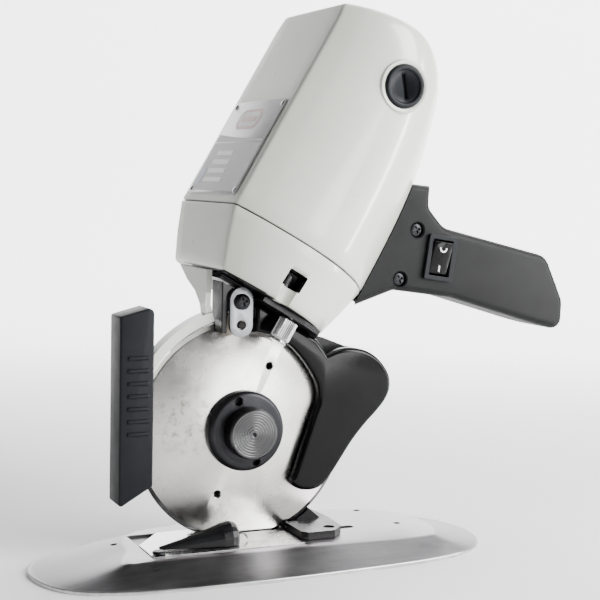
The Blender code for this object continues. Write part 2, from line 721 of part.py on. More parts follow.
def section(rear=REAR_T, front=FRONT_T, width=1.0, grow=0.0, steps=2):
    """The outline across the motor axis, as (across, y) points. The half that is drawn is mirrored."""
    side = [(p[0], p[1]) for p in smooth_open(SIDE_PROFILE, steps)]
    half = [(-38.5, 10.5), *side, (45.6, 4)]
    loop = half + [(t, -v) for t, v in reversed(half)]
    scale = (rear - front + 2 * grow) / (REAR_T - FRONT_T)
    widen = width * (43.6 + grow) / 43.6
    return [(front - grow + (t - FRONT_T) * scale, v * widen) for t, v in loop]


def rear_at(along):
    """The rear of the motor cover comes forward towards the top."""
    return REAR_T - REAR_SWEEP * ((along - SEAM) / (COVER_TOP - SEAM)) ** 3


def crown(across):
    """The cover's top rises from its front edge towards the middle."""
    share = min(max((across - FRONT_T) / 44, 0), 1)
    return COVER_CROWN * share * (2 - share)


def cover_rings(grow=0.0, start=SEAM + GAP, steps=2):
    """The motor cover's sections, from start up over its domed top, moved out by grow."""
    stations = [SEAM + GAP, 84, 112, COVER_SHOULDER]
    if start < SEAM:
        stations.insert(0, start)
    rings = []
    for along in stations:
        rings.append([(t, y, along) for t, y in section(rear_at(max(along, SEAM)), grow=grow, steps=steps)])
    height = COVER_TOP - COVER_SHOULDER + grow
    for turn in (26, 50, 70, 86):
        rise = math.sin(math.radians(turn))
        inset = 1 - math.cos(math.radians(turn))
        along = COVER_SHOULDER + height * rise
        loop = section(rear_at(along) - 13 * inset, width=1 - 0.12 * inset, grow=grow, steps=steps)
        rings.append([(t, y, along + crown(t) * rise) for t, y in loop])
    return rings


def make_motor_cover():
    cover = loft("motor_cover", cover_rings(), "cream_paint", MOTOR)
    cut(cover, loft("cover_space", cover_rings(-WALL, SEAM - 4, 1), None, MOTOR))
    for side, name in ((-1, "near"), (1, "far")):
        turn = TO_VIEWER if side < 0 else TO_FAR_SIDE
        cut(cover, rod(f"cap_hole_{name}", 9.8, 34, 50, None, MOTOR, (0, 0, BRUSH_ALONG), turn, steps=24))


def housing_rings(grow=0.0, steps=2):
    """The gear housing's sections. Moved in by a wall, they overrun the seam, so that they cut it open."""
    rings = []
    for along, share in ((HOUSING_BOTTOM, 0.0), (HOUSING_BOTTOM + 1.2, 0.04), (35, 0.52), (SEAM - GAP, 1.0)):
        inset = 0.985 if share == 0 else 1.0
        front = FRONT_T + 10.5 * (1 - share)
        rear = REAR_T - 8.0 * (1 - share)
        loop = section(rear, front, (0.93 + 0.07 * share) * inset, grow, steps)
        height = along - grow if share < 0.5 else along
        rings.append([(t, y, height) for t, y in loop])
    if grow < 0:
        rings.append([(t, y, SEAM + 3) for t, y, _ in rings[-1]])
    return rings


def make_gear_housing():
    housing = loft("gear_housing", housing_rings(), "cream_paint", MOTOR)
    cut(housing, loft("housing_space", housing_rings(-WALL, 1), None, MOTOR))
    cut(housing, rod("bearing_seat", 10.3, 18, 40, None, MOTOR, steps=28))
    boss = box("pin_boss", (PIN_ACROSS - 8, -39, HOUSING_BOTTOM + 1), (PIN_ACROSS + 8, -30, 41), None, MOTOR)
    join(housing, boss)
    low, high = WINDOW_ALONG
    cut(housing, box("pin_window", (PIN_ACROSS - 4.7, -50, low), (PIN_ACROSS + 4.7, -32.0, high), None, MOTOR))
    cut(housing, rod("pin_groove", 3.5, 18, low + 1, None, MOTOR, (PIN_ACROSS, GROOVE_Y, 0), steps=16))
    cut(housing, rod("pin_hole", 2.0, 18, low + 1, None, MOTOR, (PIN_ACROSS, PIN_Y, 0), steps=16))


def make_nameplate():
    low, high = (FRONT_T - 1.0, -29.5, 52.5), (FRONT_T - GAP, 29.5, 101)
    box("nameplate", low, high, "plate_print", MOTOR)


# ---------------------------------------------------------------- handle


HANDLE_CORNERS = (
    (60, 113, 0), (92, 110, 0), (91.5, 100, 6), (100, 90.6, 10), (158, 77, 9), (168.5, 55, 10), (168, 40, 5),
    (154, 43.5, 8), (105, 57.5, 20), (74, 61.5, 6), (40, 50, 0),
)  # fmt: skip
HANDLE_INNER = (
    (86, 84, 2), (103, 84, 8), (152, 72.5, 6), (160, 54, 6), (150, 50, 6), (108, 62.5, 16), (82, 66, 2),
)  # fmt: skip
SWITCH_PLACE = (97.0, 76.5)
SWITCH_LEAN = math.radians(8)
HANDLE_SCREWS = {"handle_screw_upper": (85, 89.5), "handle_screw_lower": (76.5, 66.6)}


def make_handle():
    """Two moulded halves, which grip the rear of the motor cover and meet on the motor's mid plane."""
    outline = rounded(HANDLE_CORNERS, 5)
    inner = rounded(HANDLE_INNER, 3)
    saddle = loft("handle_saddle", cover_rings(0.5, SEAM - 45), None, MOTOR)
    for side, name in ((-1, "handle_near"), (1, "handle_far")):
        y_out = MOTOR_Y + side * HANDLE_HALF_WIDTH
        y_mid = MOTOR_Y + side * GAP / 2
        low, high = sorted((y_out, y_mid))
        half = plate(name, [outline], low, high, "black_plastic", CENTRE)
        pocket_low, pocket_high = sorted((y_out - side * 3.2, y_mid - side))
        pocket = plate(f"{name}_pocket", [inner], pocket_low, pocket_high, None, CENTRE)
        cut(half, pocket, saddle)
        if side > 0:
            continue
        x, z = SWITCH_PLACE
        opening = box("switch_opening", (-6.6, -6, -9.6), (6.6, 10, 9.6), None, CENTRE)
        opening.location = Vector((x, y_out, z)) * MM
        opening.rotation_euler = (0, SWITCH_LEAN, 0)
        cut(half, opening)
        for screw, (sx, sz) in HANDLE_SCREWS.items():
            sink = rod(f"{screw}_hole", 3.5, 13.6, 20, None, CENTRE, (sx, MOTOR_Y, sz), TO_VIEWER, steps=20)
            cut(half, sink)
    seat = box("inlet_seat", (158, MOTOR_Y - 10.3, 47.7), (175, MOTOR_Y + 10.3, 63.3), None, CENTRE)
    for name in ("handle_near", "handle_far"):
        cut(bpy.data.objects[name], seat)


def make_handle_screws():
    profile = [(0, 15.2), (2.0, 15.2), (3.1, 14.8), (3.1, 13.9), (0, 13.9)]
    for name, (x, z) in HANDLE_SCREWS.items():
        turned(name, profile, "bright_steel", CENTRE, (x, MOTOR_Y, z), TO_VIEWER, steps=20)


def make_switch():
    """A rocker in a rectangular bezel on the near half of the handle."""
    frame = new_empty("switch_frame", (SWITCH_PLACE[0], MOTOR_Y - HANDLE_HALF_WIDTH, SWITCH_PLACE[1]),
                      (0, SWITCH_LEAN, 0))  # fmt: skip
    frame.parent = CENTRE
    outer = rounded([(-7.6, -10.6, 1), (7.6, -10.6, 1), (7.6, 10.6, 1), (-7.6, 10.6, 1)], 3)
    inner = [(-5.3, -8.5), (5.3, -8.5), (5.3, 8.5), (-5.3, 8.5)]
    body = [(-6.3, -9.3), (6.3, -9.3), (6.3, 9.3), (-6.3, 9.3)]
    bezel = plate("switch_bezel", [outer, inner], -1.9, -GAP, "black_plastic", frame)
    join(bezel, plate("switch_body", [body, inner], -0.9, 9.0, None, frame))
    profile = [(-7.6, 2.2), (-7.6, -1.0), (0, -2.0), (7.6, -3.2), (7.6, 2.2)]
    half_width = 4.9
    rings = [[(x, y, z) for z, y in profile] for x in (-half_width, half_width)]
    loft("switch_rocker", rings, "black_plastic", frame)


def make_power_inlet():
    """A recessed appliance inlet with two pins, in the rear end of the handle."""
    inlet = box("power_inlet", (158.4, MOTOR_Y - 10, 48), (167.6, MOTOR_Y + 10, 63), "black_plastic", CENTRE)
    recess = box("inlet_recess", (160.6, MOTOR_Y - 8, 50), (171, MOTOR_Y + 8, 61), None, CENTRE)
    cut(inlet, recess)
    for i, y in enumerate((-5.2, 5.2)):
        pin = rod(f"inlet_pin_{i}", 1.1, 159.8, 166.4, None, CENTRE, (0, MOTOR_Y + y, 55.5), (0, math.pi / 2, 0), 10)
        join(inlet, pin)


# ---------------------------------------------------------------- guards and sharpener


def make_guard_arm():
    """A cream arm runs from the gear housing's front down to a track that follows the blade's rim."""
    track = [*arc((0, 0), 52.2, 108, 152, 12), *arc((0, 0), 56.4, 152, 108, 12)]
    arm = plate("guard_arm", [track], -5.0, 2.8, "cream_paint", CENTRE)
    stations = (
        (51.4, -19.8, -16.6, -4.2, 2.4), (57, -20.6, -17.9, -4.2, 2.6), (62, -20.2, -17.6, -4.0, 10),
        (66, -19.6, -17.0, -3.0, 22), (71.8, -18.8, -16.4, -1.5, 34),
    )  # fmt: skip
    rings = []
    for z, front, back, near, far in stations:
        rings.append([(front, near, z), (back, near, z), (back, far, z), (front, far, z)])
    return join(arm, loft("arm_neck", rings, None, CENTRE))


def make_finger_guard():
    outline = rounded([(-59.5, 52.7, 1.2), (-44.4, 56.7, 2.4), (-44.4, -20.8, 1.2), (-59.5, -29.6, 1.2)], 3)
    guard = plate("finger_guard", [outline], -8.0, 7.0, "black_plastic", CENTRE)
    channel = [(-57.0, 50.5), (-38, 50.5), (-38, -25), (-57.0, -25)]
    cut(guard, plate("guard_channel", [channel], -5.8, 4.8, None, CENTRE))
    return guard


REAR_GUARD_CURVE = (
    (38.4, 33.2), (42.8, 34.9), (48.5, 35.8), (54.5, 35.3), (60.5, 33.3), (66, 29.2), (70.2, 23.4), (71.3, 17.6),
    (69.4, 11.8), (64.9, 6.2), (58.8, 0.2), (52.4, -7.2), (46.7, -15.4), (41.8, -22.3), (37.9, -26.6),
    (34.4, -28.4), (30.5, -28.7), (26.4, -28.1), (23.2, -26.2), (22.4, -23.4), (24.2, -19.0), (28.8, -5.4),
    (32.6, 6.2), (34.6, 11.5), (34.9, 15.7), (33.6, 20.6), (29.6, 27.3), (24.6, 33.5), (19.6, 38.0), (13, 41.6),
    (7, 43.5), (3.0, 44.2),
)  # fmt: skip


def make_rear_guard():
    """One plate covers the blade's upper rear rim under the gear housing and hangs down behind the blade."""
    outline = [*smooth_open(REAR_GUARD_CURVE, 2), (3.0, 57.6), (33.4, 40.0)]
    guard = plate("rear_guard", [outline], -5.8, -1.6, "black_plastic", CENTRE)
    boss = rod("rear_guard_boss", 7, -2.9, 3, None, CENTRE, (56, 0, 25), TO_VIEWER, steps=20)
    join(guard, boss)


LINK_X = -6.5
LINK_TOP = 60.6
LINK_BOTTOM = 48.4


def make_sharpener():
    """The stone hangs on a link beside the blade's edge. The push pin above it carries a thumb screw."""
    outline = [(-14.7, 44.6), (-12.2, 44.6), (-12.2, 54.4), (-0.6, 54.4), (-0.6, 59.4), (-14.7, 67.4)]
    block = plate("sharpener_block", [outline], -9.6, 2.9, "black_casting", CENTRE)
    cut(block, rod("block_clearance", BLADE_RADIUS + 1.6, -8, 1.2, None, CENTRE, rotation=TO_VIEWER, steps=64))
    cut(block, rod("link_screw_hole", 2.0, 4, 14, None, CENTRE, (LINK_X, 0, LINK_TOP - 2), TO_VIEWER, steps=14))
    radius = 5.3
    stadium = [*arc((LINK_X, LINK_TOP - 1), radius, 0, 180, 10), *arc((LINK_X, LINK_BOTTOM), radius, 180, 360, 10)]
    holes = [circle((LINK_X, LINK_BOTTOM), 2.1, 16), circle((LINK_X, LINK_TOP - 2), 2.1, 16)]
    plate("sharpener_link", [stadium, *holes], -12.2, -10.0, "bright_steel", CENTRE)
    screw = [(0, 14.4), (2.6, 14.4), (3.5, 13.6), (3.5, 12.5), (1.7, 12.5), (1.7, 5), (0, 5)]
    turned("link_screw", screw, "dark_steel", CENTRE, (LINK_X, 0, LINK_TOP - 2), TO_VIEWER, steps=20)
    stone = [(0, 12.8), (1.6, 12.8), (1.6, 4.8), (5.0, 4.8), (5.0, 1.2), (0, 1.2)]
    turned("grinding_stone", stone, "stone", CENTRE, (LINK_X, 0, LINK_BOTTOM), TO_VIEWER, steps=24)


def make_push_pin():
    """The sprung pin in the housing's window, and the knurled thumb screw that sets the sharpener."""
    profile = [(0, 35.4), (1.2, 35.4), (1.6, 35.0), (1.6, 24.6), (0, 24.6)]
    turned("sharpener_pin", profile, "bright_steel", MOTOR, (PIN_ACROSS, PIN_Y, 0), steps=16)
    screw = [
        (0, 21.9), (1.6, 21.9), (1.6, 19.6), (3.4, 19.6), (4.5, 18.7), (4.5, 9.8), (3.9, 9.1), (3.9, 8.2), (0, 8.2),
    ]  # fmt: skip
    turned("thumb_screw", screw, "bright_steel", MOTOR, (THUMB_ACROSS, THUMB_Y, 0), steps=20)


# ---------------------------------------------------------------- assembly


clear_scene()
PARTS = new_collection("round_knife_cutter")
CUTTERS = new_collection("cutters")
MATERIALS = make_materials()
CENTRE = new_empty("blade_centre", (0, 0, BLADE_AXIS_Z))
MOTOR = new_empty("motor_axis", (DATUM_X, MOTOR_Y, BLADE_AXIS_Z + DATUM_Z), (0, TILT, 0))

make_shoe()
make_throat_plate()
make_counter_knife()
make_standard()
make_foot_screws()
make_case_cover()
make_blade()
make_blade_clamp()
make_spindle()
make_spur_pair()
make_layshaft()
make_bevel_pair()
make_armature()
make_fan()
make_stator()
make_motor_bearings()
make_brush_gear()
make_motor_cover()
make_gear_housing()
make_nameplate()
make_handle()
make_handle_screws()
make_switch()
make_power_inlet()
make_guard_arm()
make_finger_guard()
make_rear_guard()
make_sharpener()
make_push_pin()
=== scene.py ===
"""Looks for the round-knife cloth cutter: smooth shells, rounded edges, fine detail and procedural
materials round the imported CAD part. Lengths are millimetres, and MM turns them into metres."""

import json
import math

import bmesh
import bpy
from mathutils import Matrix, Vector


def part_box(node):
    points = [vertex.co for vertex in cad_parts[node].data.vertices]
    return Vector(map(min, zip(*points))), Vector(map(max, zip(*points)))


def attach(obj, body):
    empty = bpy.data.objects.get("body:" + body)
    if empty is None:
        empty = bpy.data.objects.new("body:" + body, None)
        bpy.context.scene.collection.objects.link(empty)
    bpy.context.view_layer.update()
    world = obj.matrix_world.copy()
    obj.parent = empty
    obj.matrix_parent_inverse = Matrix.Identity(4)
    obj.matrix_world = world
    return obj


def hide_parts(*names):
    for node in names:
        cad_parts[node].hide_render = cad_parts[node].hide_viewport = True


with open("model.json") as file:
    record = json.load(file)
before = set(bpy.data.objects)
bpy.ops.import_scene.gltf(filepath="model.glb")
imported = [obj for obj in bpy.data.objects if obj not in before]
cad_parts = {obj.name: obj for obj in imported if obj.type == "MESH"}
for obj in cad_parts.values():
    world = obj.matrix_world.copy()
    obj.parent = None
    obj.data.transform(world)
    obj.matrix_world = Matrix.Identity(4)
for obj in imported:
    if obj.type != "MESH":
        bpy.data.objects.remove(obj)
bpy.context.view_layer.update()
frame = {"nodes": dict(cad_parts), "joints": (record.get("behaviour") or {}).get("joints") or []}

MM = 0.001
NODES = frame["nodes"]
JOINTS = {joint["name"]: joint for joint in frame["joints"]}

# ---------------------------------------------------------------- driving sizes, from the frame


def millimetres(vector):
    return Vector(vector) / MM


def box_mm(node):
    low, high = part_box(node)
    return millimetres(low), millimetres(high)


BLADE_LOW, BLADE_HIGH = box_mm("blade")
BLADE_CENTRE = (BLADE_LOW + BLADE_HIGH) / 2
BLADE_RADIUS = (BLADE_HIGH.x - BLADE_LOW.x) / 2
SHOE_LOW, SHOE_HIGH = box_mm("base_plate")

SPIN = JOINTS["armature_spin"]
MOTOR_AXIS = Vector(SPIN["axis"]).normalized()
TILT = math.atan2(MOTOR_AXIS.x, MOTOR_AXIS.z)
SPIN_ALONG = 90.0
MOTOR_DATUM = millimetres(SPIN["pos_m"]) - MOTOR_AXIS * SPIN_ALONG

# The housings' measures along and across the motor axis, from the datum.
HOUSING_BOTTOM = 22.5
SEAM = 49.0
COVER_SHOULDER = 137.0
COVER_TOP = 150.0
COVER_CROWN = 8.0
CROWN_REACH = 44
DOME_REAR_IN = 13
DOME_SIDE_SHARE = 0.12
FRONT_T = -38.5
REAR_T = 46.0
HALF_WIDTH = 43.6
HOUSING_FRONT_IN = 10.5
HOUSING_REAR_IN = 8.0
GAP = 0.3

LINK_X = -6.5
LINK_TOP = 60.6
LINK_BOTTOM = 48.4

BLADE_PLACE = Matrix.Translation(BLADE_CENTRE * MM)
MOTOR_PLACE = Matrix.Translation(MOTOR_DATUM * MM) @ Matrix.Rotation(TILT, 4, "Y")
TO_VIEWER = Matrix.Rotation(math.pi / 2, 4, "X")
TO_FAR_SIDE = Matrix.Rotation(-math.pi / 2, 4, "X")
SIDES = ((-1, "near", TO_VIEWER), (1, "far", TO_FAR_SIDE))

# ---------------------------------------------------------------- camera

CAMERA_AZIMUTH = -24.35
CAMERA_ELEVATION = 5.15
CAMERA_ROLL = 1.25
CAMERA_DISTANCE = 607.4
CAMERA_LENS = 81.58
AIM_RIGHT = -25.5
AIM_UP = -57.9


def make_camera():
    azimuth, elevation, roll = (
        math.radians(value) for value in (CAMERA_AZIMUTH, CAMERA_ELEVATION, CAMERA_ROLL)
    )
    back = Vector((
        math.sin(azimuth) * math.cos(elevation),
        -math.cos(azimuth) * math.cos(elevation),
        math.sin(elevation),
    ))
    level = Vector((math.cos(azimuth), math.sin(azimuth), 0.0))
    upright = back.cross(level)
    right = level * math.cos(roll) + upright * math.sin(roll)
    up = upright * math.cos(roll) - level * math.sin(roll)
    place = BLADE_CENTRE + back * CAMERA_DISTANCE - right * AIM_RIGHT - up * AIM_UP
    data = bpy.data.cameras.new("camera")
    data.lens = CAMERA_LENS
    data.sensor_width = 36.0
    data.clip_start = 0.01
    data.clip_end = 20.0
    camera = bpy.data.objects.new("camera", data)
    turn = Matrix((right, up, back)).transposed().to_4x4()
    camera.matrix_world = Matrix.Translation(place * MM) @ turn
    bpy.context.scene.collection.objects.link(camera)
    bpy.context.scene.camera = camera


# ---------------------------------------------------------------- node material helpers


class Nodes:
    """A material's node tree with short calls for the nodes that this script uses."""

    def __init__(self, name):
        self.material = bpy.data.materials.new(name)
        self.material.use_nodes = True
        self.tree = self.material.node_tree
        self.shader = self.tree.nodes["Principled BSDF"]
        self.coordinates = self.tree.nodes.new("ShaderNodeTexCoord").outputs["Object"]

    def add(self, kind, values=None, links=None, **settings):
        node = self.tree.nodes.new(kind)
        for key, value in settings.items():
            setattr(node, key, value)
        for key, value in (values or {}).items():
            node.inputs[key].default_value = value
        for key, source in (links or {}).items():
            self.tree.links.new(source, node.inputs[key])
        return node

    def noise(self, scale, detail=3.0, roughness=0.5, vector=None, stretch=None):
        source = vector or self.coordinates
        if stretch:
            source = self.add("ShaderNodeMapping", {"Scale": stretch}, {"Vector": source}).outputs[0]
        values = {"Scale": scale, "Detail": detail, "Roughness": roughness}
        return self.add("ShaderNodeTexNoise", values, {"Vector": source}).outputs["Fac"]

    def ramp(self, factor, stops):
        node = self.add("ShaderNodeValToRGB", links={"Fac": factor})
        ramp = node.color_ramp
        while len(ramp.elements) < len(stops):
            ramp.elements.new(0.5)
        for element, (place, colour) in zip(ramp.elements, stops):
            element.position = place
            value = colour if isinstance(colour, tuple) else (colour, colour, colour)
            element.color = (*value, 1.0)
        return node.outputs["Color"]

    def maths(self, operation, *parts, clamp=False):
        node = self.add("ShaderNodeMath", operation=operation, use_clamp=clamp)
        for slot, part in zip(node.inputs, parts):
            if isinstance(part, (int, float)):
                slot.default_value = part
            else:
                self.tree.links.new(part, slot)
        return node.outputs[0]

    def mix(self, factor, first, second, blend="MIX"):
        node = self.add("ShaderNodeMix", data_type="RGBA", blend_type=blend)
        for key, value in ((0, factor), (6, first), (7, second)):
            if isinstance(value, tuple):
                node.inputs[key].default_value = (*value, 1.0)
            elif isinstance(value, (int, float)):
                node.inputs[key].default_value = value
            else:
                self.tree.links.new(value, node.inputs[key])
        return node.outputs[2]

    def axes(self):
        parts = self.add("ShaderNodeSeparateXYZ", links={"Vector": self.coordinates}).outputs
        return parts["X"], parts["Y"], parts["Z"]

    def set(self, **values):
        names = {"colour": "Base Color", "roughness": "Roughness", "metallic": "Metallic"}
        names |= {"coat": "Coat Weight", "coat_roughness": "Coat Roughness", "specular": "Specular IOR Level"}
        for key, value in values.items():
            socket = self.shader.inputs[names[key]]
            if isinstance(value, tuple):
                socket.default_value = (*value, 1.0)
            elif isinstance(value, (int, float)):
                socket.default_value = value
            else:
                self.tree.links.new(value, socket)
        return self

    def brushed_round_y(self, amount):
        """Stretches the highlights across grinding marks that run round a Y axis."""
        tangent = self.add("ShaderNodeTangent", direction_type="RADIAL", axis="Y")
        self.tree.links.new(tangent.outputs[0], self.shader.inputs["Tangent"])
        self.shader.inputs["Anisotropic"].default_value = amount

    def bump(self, height, distance_mm, strength=0.5):
        values = {"Strength": strength, "Distance": distance_mm * MM}
        node = self.add("ShaderNodeBump", values, {"Height": height})
        self.tree.links.new(node.outputs["Normal"], self.shader.inputs["Normal"])
        return self


def paint(name, colour, shade, coat=0.6, roughness=(0.26, 0.4), grain=0.04):
    """Sprayed gloss paint: slow colour drift, orange peel and a few dull patches."""
    n = Nodes(name)
    drift = n.noise(28.0, 4.0, 0.6)
    n.set(colour=n.ramp(drift, ((0.3, shade), (0.7, colour))))
    n.set(roughness=n.ramp(n.noise(45.0, 5.0, 0.65), ((0.3, roughness[0]), (0.75, roughness[1]))))
    n.set(coat=coat, coat_roughness=0.12)
    return n.bump(n.noise(900.0, 2.0, 0.5), grain, 0.35).material


def enamel(name, colour, shade, grain=0.1):
    """Black enamel over a sand casting."""
    n = Nodes(name)
    n.set(colour=n.ramp(n.noise(60.0, 4.0, 0.6), ((0.3, shade), (0.75, colour))))
    n.set(roughness=n.ramp(n.noise(120.0, 4.0, 0.6), ((0.3, 0.24), (0.8, 0.42))), coat=0.1, specular=0.25)
    return n.bump(n.noise(700.0, 4.0, 0.55), grain, 0.5).material


def moulded(name, colour, shade, roughness=(0.36, 0.5), grain=0.05, scale=2400.0):
    """Moulded nylon with a spark-eroded texture and rubbed patches."""
    n = Nodes(name)
    n.set(colour=n.ramp(n.noise(40.0, 5.0, 0.6), ((0.3, shade), (0.75, colour))))
    n.set(roughness=n.ramp(n.noise(70.0, 5.0, 0.7), ((0.28, roughness[0]), (0.75, roughness[1]))))
    n.set(specular=0.16)
    return n.bump(n.noise(scale, 3.0, 0.6), grain, 0.6).material


def steel(name, colour, shade, roughness=(0.18, 0.34), stretch=(1.0, 1.0, 1.0), grain=0.01, scale=600.0):
    """Machined steel: fine grain along one direction, with smudges."""
    n = Nodes(name)
    smudge = n.noise(50.0, 5.0, 0.65)
    grain_noise = n.noise(scale, 3.0, 0.6, stretch=stretch)
    n.set(colour=n.ramp(smudge, ((0.28, shade), (0.72, colour))), metallic=1.0)
    mixed = n.maths("ADD", n.maths("MULTIPLY", smudge, 0.55), n.maths("MULTIPLY", grain_noise, 0.45))
    n.set(roughness=n.ramp(mixed, ((0.32, roughness[0]), (0.7, roughness[1]))))
    return n.bump(grain_noise, grain, 0.4).material


def polar(n, centre):
    """(radius in mm, angle) round a Y axis through the centre, in millimetres, as node outputs."""
    x, _, z = n.axes()
    dx = n.maths("SUBTRACT", x, centre.x * MM)
    dz = n.maths("SUBTRACT", z, centre.z * MM)
    square = n.maths("ADD", n.maths("MULTIPLY", dx, dx), n.maths("MULTIPLY", dz, dz))
    radius = n.maths("DIVIDE", n.maths("SQRT", square), MM)
    return radius, n.maths("ARCTAN2", dz, dx)


def turned_steel(name, colour, shade, roughness, rings_per_mm, grain):
    """Steel faced on a lathe: fine rings about the blade's axis."""
    n = Nodes(name)
    radius, angle = polar(n, BLADE_CENTRE)
    along = n.add("ShaderNodeCombineXYZ", links={"X": radius, "Y": angle}).outputs[0]
    rings = n.noise(rings_per_mm, 3.0, 0.7, vector=along, stretch=(1.0, 0.25, 1.0))
    smudge = n.noise(90.0, 5.0, 0.6)
    n.set(colour=n.mix(n.maths("MULTIPLY", smudge, 0.6), n.ramp(rings, ((0.3, shade), (0.7, colour))), shade))
    n.set(metallic=1.0, roughness=n.ramp(smudge, ((0.3, roughness[0]), (0.7, roughness[1]))))
    return n.bump(rings, grain, 0.5).material


def blade_steel(name):
    """Ground disc: rings from the grinder, broad radial glare painted into the colour, brown cutting stains
    and a honed rim.
    """
    n = Nodes(name)
    radius, angle = polar(n, BLADE_CENTRE)
    share = n.maths("DIVIDE", radius, BLADE_RADIUS)
    along = n.add("ShaderNodeCombineXYZ", links={"X": radius, "Y": angle}).outputs[0]
    rings = n.noise(2.6, 4.0, 0.75, vector=along, stretch=(1.0, 0.3, 1.0))
    # Painted glare: noise that changes only with the angle round the hub, giving light and dark sectors in
    # the colour.
    fan = n.noise(1.1, 2.0, 0.5, vector=along, stretch=(0.01, 1.0, 1.0))
    tone = n.maths("ADD", n.maths("MULTIPLY", rings, 0.35), n.maths("MULTIPLY", fan, 0.65))
    # Unstained steel, with the grinder rings and the painted glare in its colour.
    clean = n.ramp(tone, ((0.3, (0.52, 0.505, 0.48)), (0.55, (0.74, 0.725, 0.7)), (0.75, (0.86, 0.85, 0.83))))
    x, _, z = n.axes()
    left = n.maths("MULTIPLY", n.maths("SUBTRACT", x, (BLADE_CENTRE.x - 27.0) * MM), 1.0 / (17.0 * MM))
    level = n.maths("MULTIPLY", n.maths("SUBTRACT", z, (BLADE_CENTRE.z + 6.0) * MM), 1.0 / (20.0 * MM))
    away = n.maths("ADD", n.maths("MULTIPLY", left, left), n.maths("MULTIPLY", level, level))
    patch = n.maths("SUBTRACT", 1.0, away, clamp=True)
    speckle = n.ramp(n.noise(260.0, 6.0, 0.75), ((0.5, 0.0), (0.64, 1.0)))
    stain = n.maths("MULTIPLY", n.maths("MULTIPLY", patch, 0.75), speckle)
    stained = n.mix(stain, clean, (0.2, 0.15, 0.1))
    near_rim = n.ramp(share, ((0.955, 0.0), (0.966, 1.0)))
    n.set(colour=n.mix(near_rim, stained, (0.82, 0.81, 0.8)), metallic=1.0)
    rough = n.ramp(n.noise(38.0, 5.0, 0.6), ((0.3, 0.2), (0.75, 0.34)))
    n.set(roughness=n.mix(near_rim, rough, (0.14, 0.14, 0.14)))
    n.brushed_round_y(0.65)
    return n.bump(rings, 0.012, 0.35).material


def shoe_steel(name):
    """Plated shoe: purple-grey satin top, sloped sides darkened with painted shade, and a lower rim
    brightened with a painted highlight.
    """
    n = Nodes(name)
    _, _, z = n.axes()
    height = n.maths("DIVIDE", n.maths("SUBTRACT", z, SHOE_LOW.z * MM), (SHOE_HIGH.z - SHOE_LOW.z) * MM)
    scratches = n.noise(150.0, 6.0, 0.7, stretch=(0.3, 3.0, 1.0))
    smudge = n.noise(26.0, 5.0, 0.6)
    mixed = n.maths("ADD", n.maths("MULTIPLY", scratches, 0.4), n.maths("MULTIPLY", smudge, 0.6))
    top = n.ramp(mixed, ((0.34, (0.24, 0.225, 0.24)), (0.66, (0.4, 0.38, 0.395))))
    # Painted shade: the sloped sides take a darker copy of the same plated steel.
    side = n.ramp(mixed, ((0.34, (0.1, 0.1, 0.105)), (0.66, (0.2, 0.195, 0.2))))
    # Painted highlight: the lower rim takes a brighter copy of the plated steel.
    rim = n.ramp(scratches, ((0.35, (0.5, 0.5, 0.5)), (0.65, (0.76, 0.75, 0.74))))
    on_top = n.ramp(height, ((0.93, 0.0), (0.97, 1.0)))
    painted_highlight_at_rim = n.ramp(height, ((0.1, 1.0), (0.24, 0.0)))
    n.set(colour=n.mix(painted_highlight_at_rim, n.mix(on_top, side, top), rim), metallic=1.0)
    n.set(roughness=n.ramp(mixed, ((0.3, 0.24), (0.7, 0.42))))
    return n.bump(scratches, 0.015, 0.35).material


def wound(name, colour, shade, scale):
    """Lacquered copper turns, or stacked laminations, as fine bands across the motor axis."""
    n = Nodes(name)
    bands = n.noise(scale, 1.0, 0.4, stretch=(0.15, 0.15, 1.0))
    n.set(colour=n.ramp(bands, ((0.35, shade), (0.65, colour))), metallic=0.9, roughness=0.4)
    return n.bump(bands, 0.1, 0.7).material


def print_ink(name, colour, shade):
    """Glossy plate print or enamelled marks."""
    n = Nodes(name)
    n.set(colour=n.ramp(n.noise(300.0, 4.0, 0.6), ((0.3, shade), (0.7, colour))))
    n.set(roughness=0.3, coat=0.5)
    return n.bump(n.noise(1500.0, 2.0), 0.01, 0.3).material


def stone(name):
    """Coarse grit, with a dark steel shaft at its middle."""
    n = Nodes(name)
    radius, _ = polar(n, BLADE_CENTRE + Vector((LINK_X, 0, LINK_BOTTOM)))
    grit = n.ramp(n.noise(1500.0, 3.0, 0.6), ((0.3, (0.3, 0.26, 0.21)), (0.75, (0.5, 0.44, 0.36))))
    shaft = n.ramp(n.maths("MULTIPLY", radius, 0.1), ((0.2, 1.0), (0.24, 0.0)))
    n.set(colour=n.mix(shaft, grit, (0.004, 0.004, 0.004)), roughness=0.85)
    return n.bump(n.noise(1500.0, 3.0, 0.6), 0.4, 0.6).material


